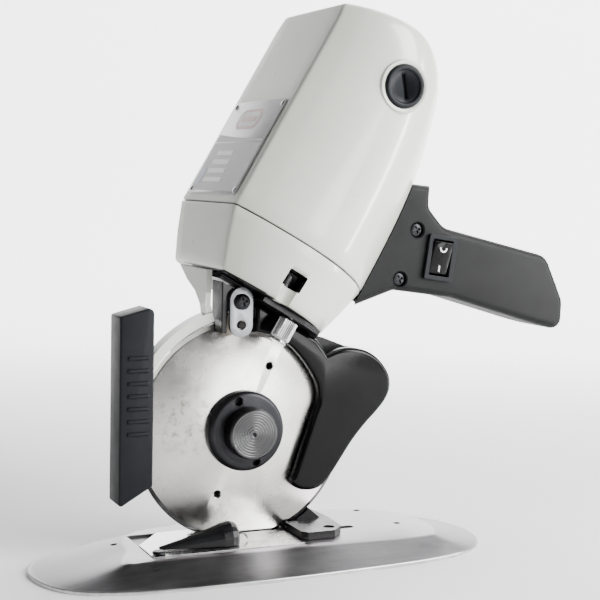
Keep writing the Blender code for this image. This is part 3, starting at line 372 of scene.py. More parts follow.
def make_materials():
    table = {
        "cream_paint": (paint, (0.66, 0.675, 0.6), (0.625, 0.645, 0.57)),
        "black_casting": (enamel, (0.006, 0.0062, 0.007), (0.003, 0.0031, 0.0035)),
        "black_plastic": (moulded, (0.009, 0.0105, 0.013), (0.005, 0.006, 0.0075)),
        "handle_plastic": (moulded, (0.006, 0.0063, 0.0068), (0.0035, 0.0037, 0.004), (0.42, 0.56), 0.09),
        "gloss_plastic": (moulded, (0.004, 0.004, 0.0045), (0.002, 0.002, 0.0022), (0.1, 0.2), 0.02, 300.0),
        "blade_steel": (blade_steel,),
        "dark_steel": (turned_steel, (0.045, 0.045, 0.048), (0.02, 0.02, 0.022), (0.3, 0.45), 3.0, 0.03),
        "nut_face": (turned_steel, (0.1, 0.1, 0.1), (0.055, 0.055, 0.057), (0.24, 0.36), 4.0, 0.02),
        "shoe_steel": (shoe_steel,),
        "bright_steel": (steel, (0.8, 0.8, 0.79), (0.6, 0.6, 0.6), (0.12, 0.28)),
        "link_steel": (steel, (0.3, 0.31, 0.32), (0.16, 0.165, 0.17), (0.26, 0.42)),
        "throat_steel": (steel, (0.78, 0.78, 0.77), (0.5, 0.5, 0.5), (0.16, 0.34), (0.3, 4.0, 1.0)),
        "gear_steel": (steel, (0.48, 0.48, 0.49), (0.3, 0.3, 0.31), (0.3, 0.45)),
        "lamination": (wound, (0.28, 0.28, 0.29), (0.1, 0.1, 0.11), 1600.0),
        "copper": (wound, (0.62, 0.26, 0.12), (0.32, 0.12, 0.05), 900.0),
        "carbon": (moulded, (0.04, 0.04, 0.042), (0.02, 0.02, 0.02), (0.6, 0.8), 0.06),
        "stone": (stone,),
        "brass": (steel, (0.75, 0.56, 0.24), (0.55, 0.4, 0.17), (0.22, 0.38)),
        "plate_silver": (print_ink, (0.5, 0.48, 0.5), (0.4, 0.385, 0.41)),
        "ink_dark": (print_ink, (0.03, 0.026, 0.045), (0.018, 0.016, 0.03)),
        "ink_red": (print_ink, (0.45, 0.1, 0.1), (0.35, 0.07, 0.08)),
        "ink_blue": (print_ink, (0.05, 0.07, 0.3), (0.035, 0.05, 0.22)),
        "ink_white": (print_ink, (0.72, 0.72, 0.72), (0.6, 0.6, 0.6)),
        "seam_shadow": (moulded, (0.03, 0.03, 0.028), (0.02, 0.02, 0.02)),
    }
    return {name: maker(name, *values) for name, (maker, *values) in table.items()}


# ---------------------------------------------------------------- outlines


def arc(centre, radius, start, end, steps):
    """Points on a circle from start to end degrees, both included."""
    points = []
    for i in range(steps + 1):
        turn = math.radians(start + (end - start) * i / steps)
        points.append((centre[0] + radius * math.cos(turn), centre[1] + radius * math.sin(turn)))
    return points


def circle(centre, radius, steps=48):
    return arc(centre, radius, 0, 360, steps)[:-1]


def rounded(corners, steps=8):
    """A closed outline through corners (x, y, radius), each rounded by an arc of its radius."""
    points = []
    for i, (x, y, radius) in enumerate(corners):
        here = Vector((x, y))
        before = (Vector(corners[i - 1][:2]) - here).normalized()
        after = (Vector(corners[(i + 1) % len(corners)][:2]) - here).normalized()
        half = before.angle(after) / 2
        if radius <= 0 or half > math.radians(88):
            points.append((x, y))
            continue
        centre = here + (before + after).normalized() * (radius / math.sin(half))
        first = here + before * (radius / math.tan(half)) - centre
        last = here + after * (radius / math.tan(half)) - centre
        swing = first.angle_signed(last)
        for k in range(steps + 1):
            spoke = Matrix.Rotation(-swing * k / steps, 2) @ first
            points.append(tuple(centre + spoke))
    return points


def spline_span(four, steps):
    """A Catmull-Rom span from the second of four points up to, not including, the third."""
    a, b, c, d = (Vector(p) for p in four)
    made = []
    for k in range(steps):
        t = k / steps
        made.append(
            0.5 * (2 * b + (c - a) * t + (2 * a - 5 * b + 4 * c - d) * t**2 + (3 * b - a - 3 * c + d) * t**3)
        )
    return made


def smooth_open(points, steps):
    first = Vector(points[0]) * 2 - Vector(points[1])
    last = Vector(points[-1]) * 2 - Vector(points[-2])
    padded = [first, *points, last]
    made = []
    for i in range(len(points) - 1):
        made += spline_span(padded[i : i + 4], steps)
    made.append(Vector(points[-1]))
    return made


def smooth_loop(points, steps):
    count = len(points)
    made = []
    for i in range(count):
        made += spline_span([points[(i + k - 1) % count] for k in range(4)], steps)
    return made


# ---------------------------------------------------------------- solids


def to_object(name, bm, place, smooth_angle=32):
    bmesh.ops.recalc_face_normals(bm, faces=bm.faces)
    mesh = bpy.data.meshes.new(name)
    bm.to_mesh(mesh)
    bm.free()
    mesh.shade_smooth()
    mesh.set_sharp_from_angle(angle=math.radians(smooth_angle))
    obj = bpy.data.objects.new(name, mesh)
    obj.matrix_world = place
    bpy.context.scene.collection.objects.link(obj)
    return obj


def settle(obj):
    """Moves the object's place into its mesh, so that its coordinates are the frame's."""
    obj.data.transform(obj.matrix_world)
    obj.matrix_world = Matrix.Identity(4)
    return obj


def paint_with(obj, *names):
    obj.data.materials.clear()
    for name in names:
        obj.data.materials.append(MATERIALS[name])
    return obj


def loft(name, rings, place, wrap=False, smooth_angle=32):
    """A skin over rings of equally many points, closed at its ends or, with wrap, end to end."""
    bm = bmesh.new()
    rows = [[bm.verts.new(Vector(p) * MM) for p in points] for points in rings]
    pairs = list(zip(rows, rows[1:]))
    if wrap:
        pairs.append((rows[-1], rows[0]))
    for lower, upper in pairs:
        for i in range(len(lower)):
            j = (i + 1) % len(lower)
            bm.faces.new((lower[i], lower[j], upper[j], upper[i]))
    if not wrap:
        bm.faces.new(rows[0])
        bm.faces.new(rows[-1])
    return to_object(name, bm, place, smooth_angle)


def plate(name, loops, low, high, place, flat=False):
    """A plate from closed outlines, the first outside and the others holes.

    It stands in the XZ plane from Y low to high or, when flat, lies in XY from Z low to high.
    """
    curve = bpy.data.curves.new(name, "CURVE")
    curve.dimensions = "2D"
    curve.fill_mode = "BOTH"
    curve.extrude = (high - low) / 2 * MM
    for loop in loops:
        spline = curve.splines.new("POLY")
        spline.points.add(len(loop) - 1)
        spline.use_cyclic_u = True
        for point, (x, y) in zip(spline.points, loop):
            point.co = (x * MM, y * MM, 0.0, 1.0)
    drawn = bpy.data.objects.new(name + "_outline", curve)
    bpy.context.scene.collection.objects.link(drawn)
    graph = bpy.context.evaluated_depsgraph_get()
    mesh = bpy.data.meshes.new_from_object(drawn.evaluated_get(graph))
    bpy.data.objects.remove(drawn)
    bm = bmesh.new()
    bm.from_mesh(mesh)
    bpy.data.meshes.remove(mesh)
    bmesh.ops.remove_doubles(bm, verts=bm.verts, dist=0.01 * MM)
    bmesh.ops.dissolve_limit(bm, angle_limit=math.radians(1), verts=bm.verts, edges=bm.edges)
    middle = (low + high) / 2 * MM
    if flat:
        bmesh.ops.translate(bm, verts=bm.verts, vec=(0, 0, middle))
    else:
        turn = Matrix.Rotation(math.pi / 2, 3, "X")
        bmesh.ops.rotate(bm, verts=bm.verts, cent=(0, 0, 0), matrix=turn)
        bmesh.ops.translate(bm, verts=bm.verts, vec=(0, middle, 0))
    return to_object(name, bm, place)


def box(name, low, high, place):
    bm = bmesh.new()
    bmesh.ops.create_cube(bm, size=1.0)
    low, high = Vector(low) * MM, Vector(high) * MM
    bmesh.ops.scale(bm, verts=bm.verts, vec=high - low)
    bmesh.ops.translate(bm, verts=bm.verts, vec=(low + high) / 2)
    return to_object(name, bm, place)


def turned(name, profile, place, steps=96, smooth_angle=32):
    """A solid of revolution about local Z through (radius, height) points, closed on itself off the axis."""
    bored = profile[0][0] > 0
    rings = []
    for radius, height in profile:
        rings.append([
            (radius * math.cos(2 * math.pi * k / steps), radius * math.sin(2 * math.pi * k / steps), height)
            for k in range(steps)
        ])
    obj = loft(name, rings, place, wrap=bored, smooth_angle=smooth_angle)
    bm = bmesh.new()
    bm.from_mesh(obj.data)
    bmesh.ops.remove_doubles(bm, verts=bm.verts, dist=0.002 * MM)
    bmesh.ops.recalc_face_normals(bm, faces=bm.faces)
    bm.to_mesh(obj.data)
    bm.free()
    return obj


def apply_modifiers(obj):
    graph = bpy.context.evaluated_depsgraph_get()
    mesh = bpy.data.meshes.new_from_object(obj.evaluated_get(graph))
    obj.modifiers.clear()
    old = obj.data
    obj.data = mesh
    bpy.data.meshes.remove(old)
    return obj


def add_flats(obj, degrees):
    flats = obj.modifiers.new("flats", "DECIMATE")
    flats.decimate_type = "DISSOLVE"
    flats.angle_limit = math.radians(degrees)


def add_bevel(obj, width, segments, degrees):
    bevel = obj.modifiers.new("rounded_edges", "BEVEL")
    bevel.width = width * MM
    bevel.segments = segments
    bevel.limit_method = "ANGLE"
    bevel.angle_limit = math.radians(degrees)
    bevel.use_clamp_overlap = True


def round_edges(obj, width, segments=3, angle=35):
    """Rounds the sharp edges and shades the faces flat where they are flat."""
    add_flats(obj, 0.8)
    add_bevel(obj, width, segments, angle)
    weighted = obj.modifiers.new("shading", "WEIGHTED_NORMAL")
    weighted.keep_sharp = True
    apply_modifiers(obj)
    return shade_by_angle(obj, 50)


def piece(obj, body, replaced=()):
    """Files the finished object as a piece of that body, and notes the nodes that it stands in for."""
    settle(obj)
    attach(obj, body)
    if replaced:
        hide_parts(*replaced)
        REPLACED.update(replaced)
    return obj


FRAME_BODY = "machine_frame"
REPLACED = set()
MATERIALS = make_materials()

# ---------------------------------------------------------------- motor cover and gear housing

SIDE_PROFILE = (
    (-38.5, 34), (-27, 39.3), (-13, 42.8), (2, 43.6), (16, 40.4), (28, 33), (38, 22), (44, 11), (45.6, 4),
)  # fmt: skip
RIDGE_REACH = 1.8
REAR_SWEEP = 15.5
BRUSH_ALONG = 131.0
CAP_OUT = 45.2
CAP_RIM = (
    (9.4, -0.9), (9.25, -0.4), (8.9, -0.08), (8.5, 0), (7.7, 0), (7.35, -0.2), (7.15, -0.75), (6.9, -0.95),
    (0, -0.95),
)  # fmt: skip


def base_section():
    """Half the outline across the motor axis: the flat front, the rounded ridge and the bowed side."""
    side = smooth_open(SIDE_PROFILE, 6)
    corner = Vector(SIDE_PROFILE[0])
    before = corner + Vector((0, -RIDGE_REACH))
    after = corner + (side[2] - corner).normalized() * RIDGE_REACH
    ridge = [
        before * (1 - u) ** 2 + corner * 2 * u * (1 - u) + after * u**2 for u in (k / 5 for k in range(6))
    ]
    front = [Vector((FRONT_T, v)) for v in (5.0, 14.0, 23.0)]
    bowed = [point for point in side if point.x > after.x + 0.4]
    return front + ridge + bowed


HALF_SECTION = base_section()


def section(rear=REAR_T, front=FRONT_T, width=1.0, grow=0.0):
    """The whole outline across the motor axis as (across, y) points, moved out by grow."""
    loop = [tuple(p) for p in HALF_SECTION] + [(p.x, -p.y) for p in reversed(HALF_SECTION)]
    scale = (rear - front + 2 * grow) / (REAR_T - FRONT_T)
    widen = width * (HALF_WIDTH + grow) / HALF_WIDTH
    return [(front - grow + (t - FRONT_T) * scale, v * widen) for t, v in loop]


def rear_at(along):
    return REAR_T - REAR_SWEEP * ((along - SEAM) / (COVER_TOP - SEAM)) ** 3


def crown(across):
    share = min(max((across - FRONT_T) / CROWN_REACH, 0), 1)
    return COVER_CROWN * share * (2 - share)


def cover_rings(grow=0.0, start=SEAM + GAP, lip=0.0):
    """The motor cover's sections from start up over its domed top. The lip rounds the lower edge."""
    rings = []
    if lip:
        rings.append([(t, y, start) for t, y in section(rear_at(SEAM), grow=grow - lip)])
        rings.append([(t, y, start + lip * 0.35) for t, y in section(rear_at(SEAM), grow=grow - lip * 0.3)])
    first = start + lip
    for k in range(15):
        along = first + (COVER_SHOULDER - first) * k / 14
        rings.append([(t, y, along) for t, y in section(rear_at(max(along, SEAM)), grow=grow)])
    height = COVER_TOP - COVER_SHOULDER + grow
    edge = 1.5
    for turn in (8, 16, 24, 32, 40, 48, 55, 61, 66, 70, 74, 78, 82, 86):
        rise = math.sin(math.radians(turn))
        inset = 1 - math.cos(math.radians(turn))
        along = COVER_SHOULDER + height * rise
        over = min(max((height * rise - height + edge) / edge, 0), 0.98)
        front = FRONT_T + edge * (1 - math.sqrt(1 - over * over))
        loop = section(rear_at(along) - DOME_REAR_IN * inset, front, 1 - DOME_SIDE_SHARE * inset, grow)
        rings.append([(t, y, along + crown(t) * rise) for t, y in loop])
    last = rings[-1]
    middle = sum(p[0] for p in last) / len(last)
    for share in (0.93, 0.82, 0.68, 0.52, 0.34, 0.16, 0.04):
        ring = []
        for t, y, _ in last:
            across = middle + (t - middle) * share
            ring.append((across, y * share, along + crown(across) + 0.25 * (1 - share * share)))
        rings.append(ring)
    return rings


def rod(name, radius, low, high, place, steps=48):
    return turned(name, [(0, low), (radius, low), (radius, high), (0, high)], place, steps)


def cut(obj, *others):
    for other in others:
        if not other.data.materials and obj.data.materials:
            other.data.materials.append(obj.data.materials[0])
        modifier = obj.modifiers.new("cut", "BOOLEAN")
        modifier.solver = "EXACT"
        modifier.material_mode = "TRANSFER"
        modifier.object = other
        apply_modifiers(obj)
        bpy.data.objects.remove(other)
    shade_by_angle(obj)
    return obj


def shade_by_angle(obj, angle=32):
    obj.data.shade_smooth()
    obj.data.set_sharp_from_angle(angle=math.radians(angle))
    return obj


def join(obj, *others):
    """Puts the other objects' meshes into this one as separate shells."""
    bm = bmesh.new()
    base = len(obj.data.materials)
    settle(obj)
    bm.from_mesh(obj.data)
    for other in others:
        settle(other)
        offset = len(obj.data.materials)
        for material in other.data.materials:
            obj.data.materials.append(material)
        start = len(bm.faces)
        bm.from_mesh(other.data)
        bm.faces.ensure_lookup_table()
        for face in bm.faces[start:]:
            face.material_index = face.material_index + offset if base else 0
        bpy.data.objects.remove(other)
    bm.to_mesh(obj.data)
    bm.free()
    return shade_by_angle(obj)


def moved(place, offset, turn=None):
    matrix = place @ Matrix.Translation(Vector(offset) * MM)
    return matrix @ turn if turn else matrix


def at_brush(turn):
    return moved(MOTOR_PLACE, (0, 0, BRUSH_ALONG), turn)


def make_motor_cover():
    cover = loft("motor_cover_shell", cover_rings(lip=0.7), MOTOR_PLACE)
    paint_with(cover, "cream_paint")
    for _, name, turn in SIDES:
        cut(cover, rod(f"cap_bore_{name}", 9.9, 37.5, 60, at_brush(turn), 72))
    piece(cover, FRAME_BODY, ["motor_cover"])
    spigot = []
    for along in (SEAM - 2.2, SEAM + 2.2):
        spigot.append([(t, y, along) for t, y in section(rear_at(SEAM), grow=-1.0)])
    seam = loft("seam_spigot", spigot, MOTOR_PLACE)
    piece(paint_with(seam, "seam_shadow"), FRAME_BODY)


def make_brush_caps():
    for side, name, turn in SIDES:
        place = at_brush(turn)
        profile = [(0, 38.4), (9.4, 38.4), *((radius, CAP_OUT + step) for radius, step in CAP_RIM)]
        cap = paint_with(turned(f"brush_cap_{name}_turned", profile, place, 96), "black_plastic")
        slot = box(f"cap_driver_slot_{name}", (-0.9, -5.4, CAP_OUT - 2.6), (0.9, 5.4, CAP_OUT + 2), Matrix())
        slot.matrix_world = place @ Matrix.Rotation(math.radians(40 * -side), 4, "Z")
        cut(cap, round_edges(slot, 0.5, 2))
        piece(cap, FRAME_BODY, [f"brush_cap_{name}"])
        boss = [
            (9.7, 40.0), (12.0, 40.0), (11.9, 43.2), (11.6, 44.0), (11.1, 44.4), (10.2, 44.4), (9.7, 44.1),
        ]  # fmt: skip
        ring = paint_with(turned(f"cap_boss_{name}", boss, place, 96), "cream_paint")
        piece(ring, FRAME_BODY)


def housing_rings(grow=0.0, lip=0.0):
    """The gear housing's sections from its rounded lower rim up to the seam."""
    stations = (
        (HOUSING_BOTTOM, 0.0, 0.978), (HOUSING_BOTTOM + 0.25, 0.005, 0.99), (HOUSING_BOTTOM + 1.0, 0.03, 1.0),
        (27.5, 0.2, 1.0), (31.5, 0.37, 1.0), (35, 0.52, 1.0), (39.5, 0.68, 1.0), (44, 0.835, 1.0),
        (SEAM - GAP - lip, 0.98, 1.0), (SEAM - GAP - lip * 0.3, 0.995, 1.0), (SEAM - GAP, 1.0, 1.0),
    )  # fmt: skip
    rings = []
    for i, (along, share, inset) in enumerate(stations):
        front = FRONT_T + HOUSING_FRONT_IN * (1 - share) + 0.7 * (1 - inset) / 0.022
        rear = REAR_T - HOUSING_REAR_IN * (1 - share) - 0.7 * (1 - inset) / 0.022
        drawn_in = lip * (0.3, 1.0)[i - 9] if i >= 9 else 0.0
        loop = section(rear, front, (0.93 + 0.07 * share) * inset, grow - drawn_in)
        rings.append([(t, y, along) for t, y in loop])
    return rings


PIN_ACROSS = -0.3
PIN_Y = -34.6
GROOVE_Y = -41.0
WINDOW_ALONG = (29.5, 37.0)


def make_gear_housing():
    housing = paint_with(loft("gear_housing_shell", housing_rings(lip=0.7), MOTOR_PLACE), "cream_paint")
    housing.data.materials.append(MATERIALS["black_casting"])
    axis = Vector((0, 0, 1))
    for face in housing.data.polygons:
        if face.normal.dot(axis) < -0.9:
            face.material_index = 1
    low, high = WINDOW_ALONG
    window = box("window_cutter", (PIN_ACROSS - 4.7, -50, low), (PIN_ACROSS + 4.7, -32.0, high), MOTOR_PLACE)
    paint_with(round_edges(window, 0.5, 2), "black_casting")
    groove = rod("groove_cutter", 3.5, 18, low + 0.6, moved(MOTOR_PLACE, (PIN_ACROSS, GROOVE_Y, 0)))
    pin_hole = rod("pin_hole_cutter", 2.0, 18, low + 1, moved(MOTOR_PLACE, (PIN_ACROSS, PIN_Y, 0)))
    bore = rod("bearing_bore_cutter", 10.3, 10, 30, MOTOR_PLACE, 72)
    for cutter in (groove, pin_hole):
        paint_with(cutter, "cream_paint")
    paint_with(bore, "black_casting")
    cut(housing, window, groove, pin_hole, bore)
    piece(housing, FRAME_BODY, ["gear_housing"])


PLATE_LOW, PLATE_HIGH = 52.5, 101.0
PLATE_HALF = 29.5


def front_panel(name, corners, low, high, steps=6):
    """A flat panel on the cover's front. Corners are (y, along, radius) and low..high the heights off it."""
    panel = plate(name, [rounded(corners, steps)], low, high, Matrix())
    turn = Matrix(((0, 1, 0, 0), (1, 0, 0, 0), (0, 0, 1, 0), (0, 0, 0, 1)))
    panel.matrix_world = MOTOR_PLACE @ Matrix.Translation((FRONT_T * MM, 0, 0)) @ turn
    settle(panel)
    panel.data.flip_normals()
    return panel


def rectangle(y0, y1, s0, s1, radius):
    return [(y0, s0, radius), (y1, s0, radius), (y1, s1, radius), (y0, s1, radius)]


def make_nameplate():
    """A generic rating plate: silver above, dark below, with plain shapes in place of any print."""
    outline = rectangle(-PLATE_HALF, PLATE_HALF, PLATE_LOW, PLATE_HIGH, 1.6)
    body = round_edges(front_panel("nameplate_body", outline, -0.75, -0.3), 0.15, 2)
    piece(paint_with(body, "plate_silver"), FRAME_BODY, ["nameplate"])
    swoosh = [(-28, 79.4, 0), (28, 79.4, 0), (28, 83.5, 0), (4, 81.6, 30), (-28, 80.6, 0)]
    marks = [
        ("plate_field", rectangle(-28, 28, 54, 79, 1.2), "ink_dark", 0.0),
        ("plate_swoosh", swoosh, "ink_dark", 0.0),
        ("plate_oval", rectangle(-11, 15, 86, 96.5, 5.1), "ink_red", 0.0),
        ("plate_oval_field", rectangle(-9.4, 13.4, 87.5, 95, 3.7), "plate_silver", 0.07),
        ("plate_oval_bar", rectangle(-6.5, 10.5, 90, 92.6, 1.2), "ink_red", 0.14),
        ("plate_patch", rectangle(20, 26.5, 57, 66, 0.8), "ink_blue", 0.07),
    ]
    for row in range(4):
        along = 58.5 + row * 4.6
        strip = rectangle(-4 + row, 18, along, along + 2.4, 0.4)
        marks.append((f"plate_strip_{row}", strip, "ink_white", 0.07))
    for name, corners, ink, lift in marks:
        mark = front_panel(name, corners, -0.82 - lift, -0.7 - lift, 10)
        piece(paint_with(mark, ink), FRAME_BODY)
    turn = Matrix.Rotation(-math.pi / 2, 4, "Y")
    for i, (y, along) in enumerate(((-27, 55), (27, 55), (-27, 98.6), (27, 98.6))):
        head = [(0, 0.3), (1.5, 0.3), (1.5, 0.7), (1.2, 1.0), (0.6, 1.2), (0, 1.25)]
        place = moved(MOTOR_PLACE, (FRONT_T, y, along), turn)
        rivet = turned(f"plate_rivet_{i}", head, place, 32)
        piece(paint_with(rivet, "bright_steel"), FRAME_BODY)


# ---------------------------------------------------------------- shoe

RIM_OUTLINE = (
    (-98, -14), (-89, -36), (-66, -47), (-25, -51), (30, -50), (80, -45), (104, -32), (113, -9), (106, 15),
    (84, 36), (50, 45), (0, 42), (-45, 36), (-78, 21), (-94, 5),
)  # fmt: skip
TOP_OUTLINE = (
    (-54, -10), (-62, -29), (-46, -29), (-18, -29), (30, -30), (74, -32), (84, -25), (88, -8), (84, 8),
    (72, 20), (46, 27), (0, 26), (-38, 20), (-48, 12), (-52, 2),
)  # fmt: skip
THROAT = (-50, 20, -26, 12)
BASE_TOP = 8.0
RIM_THICKNESS = 1.6


def between(first, second, share):
    return [(a[0] + (b[0] - a[0]) * share, a[1] + (b[1] - a[1]) * share) for a, b in zip(first, second)]


def make_shoe():
    rim = smooth_loop(RIM_OUTLINE, 10)
    top = smooth_loop(TOP_OUTLINE, 10)
    stations = (
        (0.0, 0.008), (0.25, 0.0), (1.3, 0.0), (RIM_THICKNESS, 0.008), (2.0, 0.06), (4.5, 0.46), (7.3, 0.9),
        (7.75, 0.955), (BASE_TOP, 1.0),
    )  # fmt: skip
    rings = [[(x, y, z) for x, y in between(rim, top, share)] for z, share in stations]
    base = paint_with(loft("shoe_plate", rings, Matrix(), smooth_angle=20), "shoe_steel")
    x0, x1, y0, y1 = THROAT
    cutters = [
        box("throat_recess", (x0, y0, BASE_TOP - 1.2), (x1, y1, BASE_TOP + 2), Matrix()),
        box("blade_pocket", (-24, -1.6, 2.6), (24, 1.6, BASE_TOP + 2), Matrix()),
    ]
    for i, (x, y) in enumerate(((-58, 4), (68, 20), (75, -8))):
        cutters.append(rod(f"shoe_hole_{i}", 1.6, -2, 12, Matrix.Translation((x * MM, y * MM, 0)), 32))
    oval = rounded([(42, -8.6, 2.2), (53, -8.6, 2.2), (53, -4.2, 2.2), (42, -4.2, 2.2)], 8)
    cutters.append(plate("shoe_oval", [oval], -2, 12, Matrix(), flat=True))
    for i, y in enumerate((-16, 16)):
        place = Matrix.Translation((36 * MM, y * MM, 0))
        cutters.append(rod(f"foot_hole_{i}", 2.6, -2, 12, place, 32))
        cutters.append(rod(f"foot_sink_{i}", 4.6, -2, 2.6, place, 32))
    cut(base, *cutters)
    shade_by_angle(base, 20)
    piece(base, FRAME_BODY, ["base_plate"])


# ---------------------------------------------------------------- blade

FLANGE_RADIUS = 18.0
NUT_RADIUS = 11.4
NUT_RINGS = (9.4, 8.4, 7.2, 6.0, 4.8, 3.6, 2.4)
BLADE_EDGE = 1.8


def on_blade(x=0.0, z=0.0):
    return moved(BLADE_PLACE, (x, 0, z), TO_VIEWER)


def at_turn(radius, degrees):
    return radius * math.cos(math.radians(degrees)), radius * math.sin(math.radians(degrees))


def make_blade():
    edge = BLADE_RADIUS - BLADE_EDGE
    profile = [
        (6.3, -0.6), (BLADE_RADIUS - 0.05, -0.6), (BLADE_RADIUS, -0.55), (BLADE_RADIUS, -0.48),
        (edge + 0.1, 0.5), (edge - 0.1, 0.6), (6.3, 0.6),
    ]  # fmt: skip
    blade = paint_with(turned("blade_disc", profile, on_blade(), 240), "blade_steel")
    for i, turn in enumerate((67, 247)):
        x, z = at_turn(30.8, turn)
        hole = [(0, -3), (1.5, -3), (1.5, 0.25), (2.1, 0.7), (2.1, 3), (0, 3)]
        cutter = turned(f"blade_hole_cutter_{i}", hole, on_blade(x, z), 32)
        cut(blade, paint_with(cutter, "bright_steel"))
    piece(blade, "blade_set", ["blade"])


def make_blade_clamp():
    radius = FLANGE_RADIUS
    profile = [
        (6.3, 0.9), (radius - 0.2, 0.9), (radius, 1.15), (radius, 3.4), (radius - 0.1, 3.9),
        (radius - 0.35, 4.5), (radius - 0.9, 5.1), (radius - 1.7, 5.5), (radius - 2.1, 5.6), (6.3, 5.6),
    ]  # fmt: skip
    flange = paint_with(turned("flange_disc", profile, on_blade(), 144), "dark_steel")
    for i, turn in enumerate((108, 288)):
        x, z = at_turn(14.4, turn)
        hole = [(0, 2.2), (1.8, 2.2), (1.8, 5.25), (2.15, 5.65), (2.15, 8), (0, 8)]
        cut(flange, turned(f"spanner_hole_{i}", hole, on_blade(x, z), 32))
    piece(flange, "blade_set", ["blade_flange"])
    radius = NUT_RADIUS
    face = [(0, 5.9), (radius, 5.9), (radius, 12.5)]
    face += [(radius - 0.3, 13.1), (radius - 0.8, 13.5), (radius - 1.1, 13.6)]
    for ring in NUT_RINGS:
        face += [(ring + 0.22, 13.6), (ring, 13.5), (ring - 0.22, 13.6)]
    face += [(1.2, 13.6), (0.9, 13.45), (0, 12.7)]
    nut = turned("nut_turned", face, on_blade(), 144, 12)
    paint_with(nut, "dark_steel", "nut_face")
    for polygon in nut.data.polygons:
        if polygon.center.z > 13.3 * MM:
            polygon.material_index = 1
    piece(nut, "blade_set", ["blade_nut"])


# ---------------------------------------------------------------- handle

HANDLE_CORNERS = (
    (60, 113, 0), (92, 110, 0), (91.5, 100, 6), (100, 90.6, 10), (158, 77, 9), (168.5, 55, 10), (168, 40, 5),
    (154, 43.5, 8), (105, 57.5, 20), (74, 61.5, 6), (40, 50, 0),
)  # fmt: skip
HANDLE_Y = MOTOR_DATUM.y
HANDLE_HALF_WIDTH = 16.0
INLET_SEAT_LOW = (158, HANDLE_Y - 10.3, 47.7)
INLET_SEAT_HIGH = (175, HANDLE_Y + 10.3, 63.3)
SWITCH_PLACE = (97.0, 76.5)
SWITCH_LEAN = math.radians(8)
HANDLE_SCREWS = {"upper": (85, 89.5), "lower": (76.5, 66.6)}


def on_handle(x, z):
    return moved(BLADE_PLACE, (x, HANDLE_Y, z), TO_VIEWER)


def make_handle():
    """Two moulded halves with full rounded edges, saddled onto the motor cover."""
    outline = rounded(HANDLE_CORNERS, 10)
    for side, name, _ in SIDES:
        y_out = HANDLE_Y + side * HANDLE_HALF_WIDTH
        low, high = sorted((y_out, HANDLE_Y + side * 0.1))
        half = plate(f"handle_half_{name}", [outline], low, high, BLADE_PLACE)
        paint_with(half, "handle_plastic")
        soften_outer_rim(half, y_out, 3.2)
        saddle = loft(f"handle_saddle_{name}", cover_rings(0.5, SEAM - 45), MOTOR_PLACE)
        seat = box(f"inlet_seat_{name}", INLET_SEAT_LOW, INLET_SEAT_HIGH, BLADE_PLACE)
        cutters = [saddle, seat]
        if side < 0:
            opening = box("switch_opening", (-6.6, -6, -9.6), (6.6, 10, 9.6), Matrix())
            x, z = SWITCH_PLACE
            opening.matrix_world = moved(BLADE_PLACE, (x, y_out, z), Matrix.Rotation(SWITCH_LEAN, 4, "Y"))
            cutters.append(opening)
            for screw, (sx, sz) in HANDLE_SCREWS.items():
                sink = [(0, 13.6), (3.5, 13.6), (3.5, 15.5), (4.1, 16.1), (4.1, 20), (0, 20)]
                cutters.append(turned(f"screw_sink_{screw}", sink, on_handle(sx, sz), 40))
        cut(half, *cutters)
        piece(half, FRAME_BODY, [f"handle_{name}"])


def soften_outer_rim(obj, y_out, width):
    """Rounds the edges that lie in the plane of the outer face."""
    bm = bmesh.new()
    bm.from_mesh(obj.data)
    edges = [
        edge
        for edge in bm.edges
        if all(abs(vert.co.y / MM - y_out) < 0.05 for vert in edge.verts) and edge.calc_face_angle(0) > 0.5
    ]
    bmesh.ops.bevel(
        bm, geom=edges, offset=width * MM, offset_type="OFFSET", segments=5, profile=0.5, affect="EDGES",
        clamp_overlap=True,
    )  # fmt: skip
    bm.to_mesh(obj.data)
    bm.free()
    return shade_by_angle(obj)


def make_handle_screws():
    for screw, (x, z) in HANDLE_SCREWS.items():
        profile = [(0, 13.7), (3.1, 13.7), (3.1, 14.3), (2.8, 14.7), (2.0, 15.0), (0, 15.1)]
        head = paint_with(turned(f"handle_screw_{screw}_head", profile, on_handle(x, z), 40), "dark_steel")
        cross_recess(head, on_handle(x, z), 15.1, 1.9, 0.55, 1.0, 20)
        piece(head, FRAME_BODY, [f"handle_screw_{screw}"])


def cross_recess(obj, place, top, reach, half, depth, degrees):
    """Cuts a cross-head drive into a screw whose head ends at top."""
    for i in range(2):
        bar = box(f"{obj.name}_drive_{i}", (-reach, -half, top - depth), (reach, half, top + 1), Matrix())
        bar.matrix_world = place @ Matrix.Rotation(math.radians(degrees + 90 * i), 4, "Z")
        cut(obj, bar)


